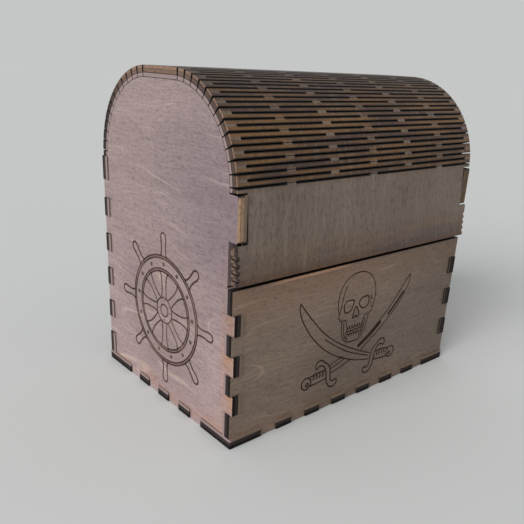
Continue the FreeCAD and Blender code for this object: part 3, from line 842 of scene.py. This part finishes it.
# a ship's wheel, in millimetres: across the panel towards the front, and up
wheel = {
    "centre": (0.7, 30.4), "squash": 0.965, "line": 0.6, "fine": 0.5, "hub": (2.0, 4.2), "hubSteps": 40,
    "handleSteps": 6, "spokeSteps": 14, "dotSteps": 8, "rim": (12.8, 13.6, 17.0, 17.8), "spokes": 8,
    "spokeWaist": 1.1, "spokeFlare": 1.2, "waistAt": 0.4, "pegs": 13, "pegCircle": 15.2, "peg": 0.42,
    "pegLine": 0.5, "dots": 4, "dotCircle": 3.2, "dot": 0.15, "dotLine": 0.28,
    "handle": ((17.7, 1.75), (18.4, 1.35), (19.8, 1.1), (21.6, 1.15), (23.3, 1.4), (24.7, 1.1), (25.3, 0.0)),
}


# rings about the centre; spokes whose half width grows by the cube of the way from their waist; a handle's
# outline on each spoke; small rings for the pegs and dots
def wheelStrokes():
    centre = np.array(wheel["centre"])
    strokes = [(circleLine(centre, radius), wheel["line"], True) for radius in wheel["rim"]]
    strokes += [
        (circleLine(centre, radius, wheel["hubSteps"]), wheel["fine"], True) for radius in wheel["hub"]
    ]
    outline = np.array(wheel["handle"] + tuple((r, -w) for r, w in wheel["handle"][-2::-1]))
    handle = smoothLine(outline, steps=wheel["handleSteps"])
    reach = np.linspace(wheel["hub"][1], wheel["rim"][0], wheel["spokeSteps"])
    share = (reach - reach[0]) / (reach[-1] - reach[0])
    flare = (np.abs(share - wheel["waistAt"]) / (1 - wheel["waistAt"])) ** 3
    half = wheel["spokeWaist"] + wheel["spokeFlare"] * flare
    for out in circleLine((0, 0), 1.0, wheel["spokes"]):
        aside = np.array([-out[1], out[0]])
        for sign in (-1, 1):
            strokes.append(
                (centre + reach[:, None] * out + sign * half[:, None] * aside, wheel["fine"], False),
            )
        strokes.append((centre + handle[:, :1] * out + handle[:, 1:] * aside, wheel["line"], False))
    for middle in circleLine(centre, wheel["pegCircle"], wheel["pegs"], np.pi / 2):
        strokes.append((circleLine(middle, wheel["peg"], wheel["dotSteps"]), wheel["pegLine"], True))
    for middle in circleLine(centre, wheel["dotCircle"], wheel["dots"]):
        strokes.append((circleLine(middle, wheel["dot"], wheel["dotSteps"]), wheel["dotLine"], True))
    squash = np.array([1.0, wheel["squash"]])  # the drawing is a little lower than wide
    return [(centre + (line - centre) * squash, width, closed) for line, width, closed in strokes]


# a skull, in millimetres: to the right, and up
skull = {
    "thin": 0.34, "line": 0.38, "thick": 0.48,
    "crown": ((-9.2, 31.6), (-9.8, 33.8), (-9.8, 36.6), (-9.2, 39.2), (-7.7, 41.4), (-5.8, 42.8),
              (-3.1, 43.7), (-0.4, 43.8), (2.1, 43.2), (4.4, 41.8), (6.2, 39.6), (7.2, 36.9), (7.4, 34.6),
              (7.1, 32.4), (6.5, 30.9)),
    "temple": ((-6.4, 40.3), (-7.4, 38.2), (-8.0, 35.6), (-8.5, 32.8), (-9.0, 31.2), (-9.0, 29.9),
               (-8.2, 29.0), (-7.2, 28.8), (-5.9, 28.8), (-5.5, 27.6), (-4.8, 25.9), (-5.1, 24.6),
               (-5.3, 23.7)),
    "leftEye": ((-6.8, 34.3), (-5.7, 35.1), (-3.0, 34.9), (-2.7, 34.0), (-3.8, 31.6), (-6.1, 31.2),
                (-7.0, 32.7)),
    "rightEye": ((0.0, 33.7), (0.9, 34.8), (3.6, 35.0), (4.4, 34.0), (4.0, 31.8), (1.9, 31.2), (0.1, 32.6)),
    "nose": ((-1.6, 32.4), (-2.4, 30.5), (-2.7, 28.9), (-2.0, 28.8), (-1.4, 29.5), (-0.8, 28.7), (-0.1, 28.9),
             (0.0, 30.1), (-0.8, 31.6)),
    "cheek": ((6.5, 30.9), (6.2, 29.5), (4.8, 28.8), (3.2, 28.5), (2.7, 27.4), (2.3, 26.0), (2.5, 24.9),
              (2.1, 23.7)),
    "jaw": ((-7.6, 28.6), (-7.3, 25.8), (-6.7, 23.0), (-4.4, 20.9), (-1.5, 20.5), (1.3, 20.8), (3.5, 23.0),
            (4.3, 26.0), (4.9, 28.5)),
    "jawInside": ((-6.6, 28.0), (-6.3, 25.2), (-5.7, 23.0), (-4.2, 21.6)),
    "chin": ((3.4, 27.6), (3.1, 25.2), (2.4, 22.9), (0.9, 21.6)),
    "marks": (
        ((5.5, 35.0), (5.2, 33.6)),
        ((5.8, 34.2), (6.3, 33.2)),
        ((5.4, 32.5), (5.9, 32.0)),
        ((5.6, 31.2), (6.4, 30.8)),
    ),
    "teeth": 6, "teethFrom": -4.9, "teethTo": 2.2, "perTooth": 8, "upper": 25.2, "lower": 23.8, "bite": 24.5,
    "tooth": 1.35, "toothArch": 0.6,
}


# smooth lines through the points, closed for the eyes and the nose, and level rows for the teeth
def skullStrokes():
    strokes = smoothStrokes([skull[word] for word in ("crown", "temple", "cheek")], skull["thin"])
    strokes += smoothStrokes([skull[word] for word in ("jaw", "jawInside", "chin")], skull["line"])
    strokes += smoothStrokes([skull[word] for word in ("leftEye", "rightEye", "nose")], skull["thick"], True)
    strokes += smoothStrokes(skull["marks"], skull["line"])
    # teeth hang from one row and stand on the other: one less the size of a sine, to a power, is added to
    # the upper row's height and taken from the lower one's
    across = np.linspace(skull["teethFrom"], skull["teethTo"], skull["teeth"] * skull["perTooth"] + 1)
    share = (across - across[0]) / (across[-1] - across[0])
    gum = skull["tooth"] * (1 - np.abs(np.sin(share * np.pi * skull["teeth"])) ** skull["toothArch"])
    for height, width in (
        (skull["upper"] + gum, skull["line"]), (skull["lower"] - gum, skull["line"]),
        (skull["bite"] + 0 * gum, skull["thick"]),
    ):
        strokes.append((np.stack([across, height], 1), width, False))
    return strokes


# two crossed sabres: the front blade is whole, the rear one shows on both sides of it, and the hilts are
# mirrored
sabre = {
    "line": 0.4, "hilt": 0.5, "middle": -1.2,
    "front": (
        ((-25.8, 38.6), (-22.8, 34.9), (-19.3, 31.0), (-15.3, 26.9), (-9.8, 22.6), (-4.2, 19.3), (1.3, 16.5),
         (8.0, 13.6)),
        ((-25.8, 38.6), (-26.0, 36.9), (-25.2, 34.2), (-23.6, 31.3), (-20.3, 26.7), (-15.3, 21.7),
         (-9.8, 17.8), (-4.2, 15.0), (1.3, 12.9), (7.7, 11.4)),
        ((-14.5, 24.4), (-8.1, 20.0), (-3.1, 17.1), (2.4, 14.7), (7.2, 12.9)),
    ),
    "rear": (
        ((24.8, 38.6), (21.3, 34.7), (16.9, 29.7), (11.3, 24.7), (5.8, 20.8), (1.0, 18.0)),
        ((24.8, 38.6), (24.9, 36.6), (23.6, 33.3), (19.7, 28.3), (15.2, 24.4), (10.2, 20.6), (4.7, 17.2),
         (2.9, 16.2)),
        ((-11.4, 14.7), (-8.6, 15.4), (-5.7, 16.2)),
        ((-10.9, 13.3), (-7.8, 14.1), (-4.6, 15.1)),
        ((-10.3, 11.7), (-6.0, 12.7), (-1.5, 14.0)),
    ),
    "hollow": (
        ((22.4, 32.8), (19.0, 29.3), (15.2, 25.9)),
        ((11.9, 24.2), (6.8, 20.5), (1.4, 17.7)),
    ),
    "hollowWidth": (0.8, 1.15),
    "guard": ((13.4, 15.6), (14.6, 14.9), (15.1, 16.2), (14.2, 17.4), (12.4, 17.4), (11.0, 16.2),
              (9.4, 15.0), (8.5, 13.2), (8.3, 11.0), (8.0, 9.3), (6.8, 8.6), (5.5, 8.9), (5.1, 7.8),
              (6.2, 6.6), (8.0, 6.8), (9.6, 8.6), (10.1, 11.0), (10.6, 13.4), (11.8, 15.3)),
    "grip": (
        ((10.6, 13.4), (14.0, 13.5), (17.4, 13.0)),
        ((10.2, 10.5), (13.5, 10.1), (17.0, 9.9)),
    ),
    "bands": (11.9, 13.2, 14.5, 15.8), "band": ((0.0, 13.3), (-0.3, 12.3), (0.15, 11.6)), "bandLine": 0.55,
    "pommel": (18.8, 11.2), "pommelRadius": 2.0, "bead": (-0.4, -0.5), "beadRadius": 0.55,
    "guardSteps": 6, "pommelSteps": 28, "beadSteps": 12, "bandSteps": 4,
}


# smooth lines through the points, and circles for the pommel; the hilt comes again, mirrored about the middle
def sabreStrokes():
    strokes = smoothStrokes(sabre["front"] + sabre["rear"], sabre["line"])
    for points, width in zip(sabre["hollow"], sabre["hollowWidth"]):
        strokes += smoothStrokes([points], width)
    hilt = [(smoothLine(sabre["guard"], True, sabre["guardSteps"]), sabre["hilt"], True)]
    hilt += smoothStrokes(sabre["grip"], sabre["hilt"])
    pommel = np.array(sabre["pommel"])
    hilt.append((circleLine(pommel, sabre["pommelRadius"], sabre["pommelSteps"]), sabre["hilt"], True))
    hilt.append(
        (circleLine(pommel + sabre["bead"], sabre["beadRadius"], sabre["beadSteps"]), sabre["hilt"], True),
    )
    for place in sabre["bands"]:
        band = smoothLine([(place + x, y) for x, y in sabre["band"]], steps=sabre["bandSteps"])
        hilt.append((band, sabre["bandLine"], False))
    flip = np.array([-1.0, 1.0])
    shift = np.array([2 * sabre["middle"], 0.0])
    return strokes + hilt + [(line * flip + shift, width, closed) for line, width, closed in hilt]


# from a drawing to a panel: its two directions lie in the panel's face, and level is measured out of it
def onLeftPanel(u, v, level):
    return np.stack([-sheet["sideFace"] - level, -u, v], 1)


def onFrontWall(u, v, level):
    return np.stack([u, -sheet["frontFace"] - level, v], 1)


engrave("shipsWheel", wheelStrokes(), onLeftPanel, lightBurn)
engrave("skullAndSabres", skullStrokes() + sabreStrokes(), onFrontWall, deepBurn)
print("engravings drawn")


# the spring: a round wire carried along two end stubs, two end bends and a helix between them
springLook = {
    "low": 0.007, "high": 0.031, "wire": 0.0012, "radius": 0.014, "turns": 8, "perTurn": 40, "round": 14,
    "bendSteps": 8, "bright": rgb(0.56, 0.56, 0.57), "dull": rgb(0.42, 0.4, 0.38), "specular": 0.5,
    "drawn": (900, 900, 5200, 3.0, 0.6), "spots": (160, 160, 160), "spotsFrom": (0.5, 0.72), "rough": 0.22,
    "drawnRough": 0.25, "tries": 10,
}


def makeSteel():
    material, tree = newMaterial("springSteel", springLook["specular"])
    look = springLook
    spot = objectSpot(tree)
    drawn = noise(spot, *look["drawn"])
    color = mixColor(easedNoise(spot, look, "spots"), look["bright"], look["dull"])
    rough = plus(look["rough"], times(drawn, look["drawnRough"]))
    feed(shaderOf(material), {"Base Color": color, "Roughness": rough, "Metallic": 1.0})
    return material


# the path's turns are the radius times the cosine and the sine of an angle, rising evenly; a bend at each
# end turns it upright, and rings of points square to the path make the wire
def makeSpring(material):
    look = springLook
    bend = 2 * look["wire"]
    length = look["turns"] * 2 * math.pi * look["radius"]
    slope = 0.0
    # the rise angle and the height of the end bends depend on each other
    for attempt in range(look["tries"]):
        endHeight = look["wire"] + bend * math.cos(slope)
        rise = look["high"] - look["low"] - 2 * endHeight
        slope = math.atan(rise / length)
    swing = np.linspace(0, math.pi / 2 - slope, look["bendSteps"] + 1)[:-1]
    turn = np.linspace(0, look["turns"], look["turns"] * look["perTurn"] + 1)
    bendAside = bend * (1 - np.cos(swing)) - bend * (1 - math.sin(slope))  # the end bend in its own plane
    bendUp = bend * np.sin(swing) - bend * math.cos(slope)
    aside = np.concatenate([bendAside[:1], bendAside, 0 * turn, -bendAside[::-1], -bendAside[:1]])
    upward = np.concatenate(
        [bendUp[:1] - look["wire"], bendUp, 0 * turn, -bendUp[::-1], look["wire"] - bendUp[:1]],
    )
    ends = np.zeros(look["bendSteps"] + 1)
    share = np.concatenate([ends, turn, ends + look["turns"]])
    angle = share * 2 * math.pi
    radial = np.stack([np.cos(angle), np.sin(angle), 0 * angle], 1)
    level = np.stack([-np.sin(angle), np.cos(angle), 0 * angle], 1)
    path = radial * look["radius"] + level * aside[:, None]
    path[:, 2] = look["low"] + endHeight + share / look["turns"] * rise + upward
    run = np.gradient(path, axis=0)
    run /= np.linalg.norm(run, axis=1)[:, None]
    other = np.cross(run, radial)
    around = turnsOf(look["round"])
    ring = np.cos(around)[None, :, None] * radial[:, None] + np.sin(around)[None, :, None] * other[:, None]
    points = (path[:, None] + ring * look["wire"] / 2).reshape(-1, 3)
    piece = newPiece("springWire", points, tubeFaces(len(path), look["round"]), material, None)
    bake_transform(piece)
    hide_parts("jack_spring")
    return piece


makeSpring(makeSteel())
print("spring wound")


# the jack: turned wood with brushed paint, chipped to the wood where Wear lets it
paintLook = {
    "strokes": (300, 300, 1500, 3.0, 0.6, 0.3), "strokesFrom": (0.5, 0.8), "strokeShare": 0.25,
    "cloud": (110, 110, 110), "cloudFrom": (0.3, 0.75), "chips": (700, 700, 700, 3.0, 0.7),
    "chipsFrom": (0.69, 0.72), "wood": rgb(0.5, 0.33, 0.19), "specular": 0.45, "rough": 0.34,
    "strokeRough": 0.2, "bump": 0.2, "wear": 0.6,
}


def makeBrushedPaint():
    tree, gives, paint, shade, wear = group("brushedPaint", "Paint Shade Wear", surface)
    look = paintLook
    spot = objectSpot(tree)
    strokes = noise(spot, *look["strokes"])
    color = mixColor(easedNoise(spot, look, "cloud"), paint, shade)
    color = mixColor(times(ease(strokes, *look["strokesFrom"]), look["strokeShare"]), color, shade)
    bare = times(easedNoise(spot, look, "chips"), wear)
    feed(gives, {
        "Color": mixColor(bare, color, look["wood"]), "Height": minus(strokes, bare),
        "Roughness": plus(look["rough"], times(strokes, look["strokeRough"])),
    })
    return tree


brushedPaint = makeBrushedPaint()


def makePaint(name, paint, shade, wear=paintLook["wear"]):
    material, tree = newMaterial(name, paintLook["specular"])
    feeds = {"Paint": paint, "Shade": shade, "Wear": wear}
    return finishWith(material, use(tree, brushedPaint, feeds), paintLook["bump"])


# sectors of two colours round the upright axis; the shift keeps their count above zero and turns them to
# the front
jackPaint = {
    "red": rgb(0.5, 0.045, 0.035), "blue": rgb(0.05, 0.12, 0.34), "sectors": 8, "shift": 20.25,
    "border": (0.24, 0.26), "dark": 0.65,
}


def makeHarlequin(name, first, second):
    material, tree = newMaterial(name, paintLook["specular"])
    look = jackPaint
    x, y = split(objectSpot(tree), "XY")
    turn = calc("DIVIDE", calc("ARCTAN2", y, x), 4 * math.pi / look["sectors"])
    pick = ease(absolute(minus(calc("FRACT", plus(turn, look["shift"])), 0.5)), *look["border"])
    shades = (dimmed(color, look["dark"]) for color in (first, second))
    feeds = {
        "Paint": mixColor(pick, first, second), "Shade": mixColor(pick, *shades), "Wear": paintLook["wear"],
    }
    return finishWith(material, use(tree, brushedPaint, feeds), paintLook["bump"])


beechLook = {
    "pale": rgb(0.68, 0.49, 0.31), "deep": rgb(0.52, 0.34, 0.19), "rays": (900, 900, 120, 3.0, 0.6, 0.2),
    "raysFrom": (0.5, 0.75), "rayShare": 0.4, "rings": (150, 150, 30, 2.0, 0.5, 0.8), "ringsFrom": (0.3, 0.7),
    "specular": 0.4, "rough": 0.36, "rayRough": 0.2, "bump": 0.15,
}


def makeTurnedWood(name):
    material, tree = newMaterial(name, beechLook["specular"])
    look = beechLook
    spot = objectSpot(tree)
    rays = noise(spot, *look["rays"])
    color = mixColor(easedNoise(spot, look, "rings"), look["pale"], look["deep"])
    color = mixColor(times(ease(rays, *look["raysFrom"]), look["rayShare"]), color, look["deep"])
    wood = {"Color": color, "Roughness": plus(look["rough"], times(rays, look["rayRough"])), "Height": rays}
    return finishWith(material, wood, look["bump"])


jackFinish = {
    "red": makePaint("redPaint", jackPaint["red"], rgb(0.36, 0.03, 0.025)),
    "cream": makePaint("creamPaint", rgb(0.8, 0.72, 0.56), rgb(0.68, 0.58, 0.42)),
    "gold": makePaint("yellowPaint", rgb(0.75, 0.45, 0.06), rgb(0.58, 0.32, 0.04)),
    "black": makePaint("blackPaint", rgb(0.02, 0.018, 0.017), rgb(0.012, 0.011, 0.01), 0.0),
    "white": makePaint("whitePaint", rgb(0.8, 0.79, 0.75), rgb(0.72, 0.7, 0.65), 0.0),
    "pink": makePaint("pinkPaint", rgb(0.72, 0.3, 0.22), rgb(0.66, 0.26, 0.19), 0.0),
    "beech": makeTurnedWood("turnedBeech"),
    "cap": makeHarlequin("capPaint", jackPaint["blue"], jackPaint["red"]),
    "coat": makeHarlequin("coatPaint", jackPaint["red"], jackPaint["blue"]),
}
for name, finish in (
    ("spring_seat", "beech"), ("figure_base", "beech"), ("figure_body", "coat"), ("figure_collar", "cream"),
    ("figure_head", "beech"), ("figure_nose", "red"), ("figure_cap", "cap"), ("cap_bead", "gold"),
):
    coat(nodes[name].data, jackFinish[finish])

# the face, in degrees to the side and up: for each spot its place, half sizes, finish and layers of paint
headLook = {
    "centre": (0.0, 0.0, 0.0588), "radius": 0.0105, "proud": 0.00006, "under": -3.0, "around": 24,
    "along": 25, "lensShare": (0.35, 0.7, 0.92, 1.0, 0.9, 0.5),
    "lensOver": (1.0, 1.0, 0.8, 0.0, -3.0, -3.0),
    "spots": {"eyeWhite": (24, 4, 8.5, 10, "white", 1), "pupil": (23, 3, 4, 5, "black", 2),
              "cheek": (42, -20, 9, 8, "pink", 1)},
    "smile": ((-30, -15, 0, 15, 30), (-24, -33, -36, -33, -24)), "smileThick": 1.8, "smileEnd": 0.04,
    "smooth": 7,
}


# directions from the head's middle, by degrees to the side and up, as points at a height over its ball
def onHead(side, high, over):
    side, high = np.radians(side), np.radians(high)
    ray = np.stack([np.sin(side) * np.cos(high), -np.cos(side) * np.cos(high), np.sin(high)], -1)
    return np.array(headLook["centre"]) + ray * (headLook["radius"] + np.asarray(over))[..., None]


# a painted spot: a thin lens whose rings grow about a direction, bulge over the ball and close again under it
def makeSpot(name, across, up, wide, tall, finish, layers):
    look = headLook
    thick = look["proud"] * layers
    share = np.array(look["lensShare"])[:, None]
    over = np.array(look["lensOver"])[:, None] * thick
    turn = turnsOf(look["around"])[None, :]
    rings = onHead(across + wide * share * np.cos(turn), up + tall * share * np.sin(turn), over + 0 * turn)
    poles = onHead(np.full(2, across), np.full(2, up), np.array([1.0, look["under"]]) * thick)
    faces = [face[::-1] for face in poleFaces(len(share), look["around"])]
    return newPiece(name, np.concatenate([rings.reshape(-1, 3), poles]), faces, jackFinish[finish], "jack")


# a painted stroke: a flat section of changing width carried along an arc of directions
def makeStroke(name, across, up, thick, finish):
    look = headLook
    share = np.linspace(0, 1, look["along"])
    side = np.interp(share, np.linspace(0, 1, len(across)), across)
    high = np.interp(share, np.linspace(0, 1, len(up)), up)
    count, end = look["smooth"], look["smileEnd"]
    # each height becomes the mean of its neighbours
    high = np.convolve(np.pad(high, count // 2, "edge"), np.full(count, 1 / count), "valid")
    half = thick * np.sqrt(np.sin(np.pi * (end + (1 - 2 * end) * share)))  # the ends keep a little width
    corner = np.array([1, -1, -1, 1])[None, :]
    over = np.array([1, 1, look["under"], look["under"]])[None, :] * look["proud"] + 0 * share[:, None]
    points = onHead(side[:, None] + 0 * corner, high[:, None] + half[:, None] * corner, over)
    return newPiece(name, points.reshape(-1, 3), tubeFaces(look["along"], 4), jackFinish[finish], "jack")


for side, word in ((-1, "Left"), (1, "Right")):
    for spot, (across, *rest) in headLook["spots"].items():
        makeSpot(spot + word, side * across, *rest)
makeStroke("smile", *headLook["smile"], headLook["smileThick"], "red")

coatLook = {
    "foot": 0.014, "neck": 0.006, "low": 0.034, "tall": 0.013, "buttons": (0.0365, 0.0405, 0.0445),
    "button": 0.0012, "dome": 0.7, "under": -0.4, "rises": (-0.5, 0.0, 0.4, 0.8, 1.2), "around": 20,
}


# a button: a dome of shrinking rings on the coat's cone, square to its slope, closed under the paint
def makeButton(name, height):
    look = coatLook
    radius = look["foot"] + (look["neck"] - look["foot"]) * (height - look["low"]) / look["tall"]
    lean = math.atan2(look["foot"] - look["neck"], look["tall"])
    out = np.array([0, -math.cos(lean), math.sin(lean)])
    up = np.array([0, math.sin(lean), math.cos(lean)])
    rise = np.array(look["rises"])[:, None]
    turn = turnsOf(look["around"])[None, :]
    size = look["button"]
    middle = np.array([0, -radius, height])
    flat = size * np.cos(rise)
    high = look["dome"] * size * np.sin(rise) + 0 * turn
    rings = (
        middle + (flat * np.cos(turn))[..., None] * np.array([1.0, 0, 0])
        + (flat * np.sin(turn))[..., None] * up
    )
    rings = rings + high[..., None] * out
    poles = middle + np.array([look["under"], look["dome"]])[:, None] * size * out
    points = np.concatenate([rings.reshape(-1, 3), poles])
    return newPiece(name, points, poleFaces(len(rise), look["around"]), jackFinish["gold"], "jack")


for number, height in enumerate(coatLook["buttons"]):
    makeButton(f"button{number + 1}", height)
print("jack painted")

# floor, light and camera
studio = {
    "floor": rgb(0.74, 0.745, 0.725), "floorDim": 0.97, "floorCloud": (6, 6, 6), "floorRough": 0.7,
    "floorSpecular": 0.2, "floorAt": -0.0002, "reach": 4.0, "back": rgb(0.5588, 0.5715, 0.5655),
    "around": rgb(0.96, 0.98, 1.0), "ambient": 0.44, "sunFrom": (-0.86, -0.14, 0.5), "sun": 2.2,
    "sunColor": (0.98, 0.99, 1.0), "sunAngle": math.radians(40),
}
corners = np.array([[-1, -1, 0], [1, -1, 0], [1, 1, 0], [-1, 1, 0]]) * studio["reach"]
corners = corners + np.array([0, 0, studio["floorAt"]])
floorFinish, floorTree = newMaterial("paleFloor", studio["floorSpecular"])
cloud = noise(objectSpot(floorTree), *studio["floorCloud"])
floorColor = mixColor(cloud, studio["floor"], dimmed(studio["floor"], studio["floorDim"]))
feed(shaderOf(floorFinish), {"Base Color": floorColor, "Roughness": studio["floorRough"]})
newPiece("floor", corners, [[0, 1, 2, 3]], floorFinish, None, False)

world = scene.world or bpy.data.worlds.new("studio")
scene.world = world
world.use_nodes = True
tree = world.node_tree
tree.nodes.clear()
path = tree.nodes.new("ShaderNodeLightPath").outputs
# the backdrop shows to the eye and in mirrors, and doesn't light the part
seen = larger(path["Is Camera Ray"], larger(path["Is Glossy Ray"], path["Is Transmission Ray"]))
around = put(tree, "ShaderNodeBackground", {"Color": studio["around"], "Strength": studio["ambient"]})
behind = put(tree, "ShaderNodeBackground", {"Color": studio["back"], "Strength": 1.0})
both = put(tree, "ShaderNodeMixShader", {0: seen, 1: around, 2: behind})
feed(tree.nodes.new("ShaderNodeOutputWorld"), {"Surface": both})


def placed(right, up, back, at):
    return Matrix([[right[i], up[i], back[i], at[i]] for i in range(3)] + [[0, 0, 0, 1]])


def addToScene(name, data, matrix):
    thing = bpy.data.objects.new(name, data)
    scene.collection.objects.link(thing)
    thing.matrix_world = matrix
    return thing


lamp = bpy.data.lights.new("window", "SUN")
lamp.energy = studio["sun"]
lamp.color = studio["sunColor"]
lamp.angle = studio["sunAngle"]
back = np.array(studio["sunFrom"]) / np.linalg.norm(studio["sunFrom"])
right = np.cross((0, 0, 1), back)
right /= np.linalg.norm(right)
addToScene("window", lamp, placed(right, np.cross(back, right), back, back))

# the camera, fitted to the photograph: its place in metres, and its turn about X, Y and Z in degrees
camera = {
    "at": (-0.13972, -0.15024, 0.10279), "turn": (68.884, -2.941, -40.867), "sensor": 36.0, "lens": 41.931,
    "shift": (-0.0248, 0.0668), "near": 0.005,
}
view = bpy.data.cameras.new("camera")
view.sensor_width = camera["sensor"]
view.lens = camera["lens"]
view.shift_x, view.shift_y = camera["shift"]
view.clip_start = camera["near"]
turned = Euler([math.radians(angle) for angle in camera["turn"]]).to_matrix().to_4x4()
placing = Matrix.Translation(camera["at"]) @ turned
scene.camera = addToScene("camera", view, placing)
scene.view_settings.view_transform = "Standard"
print("studio lit")
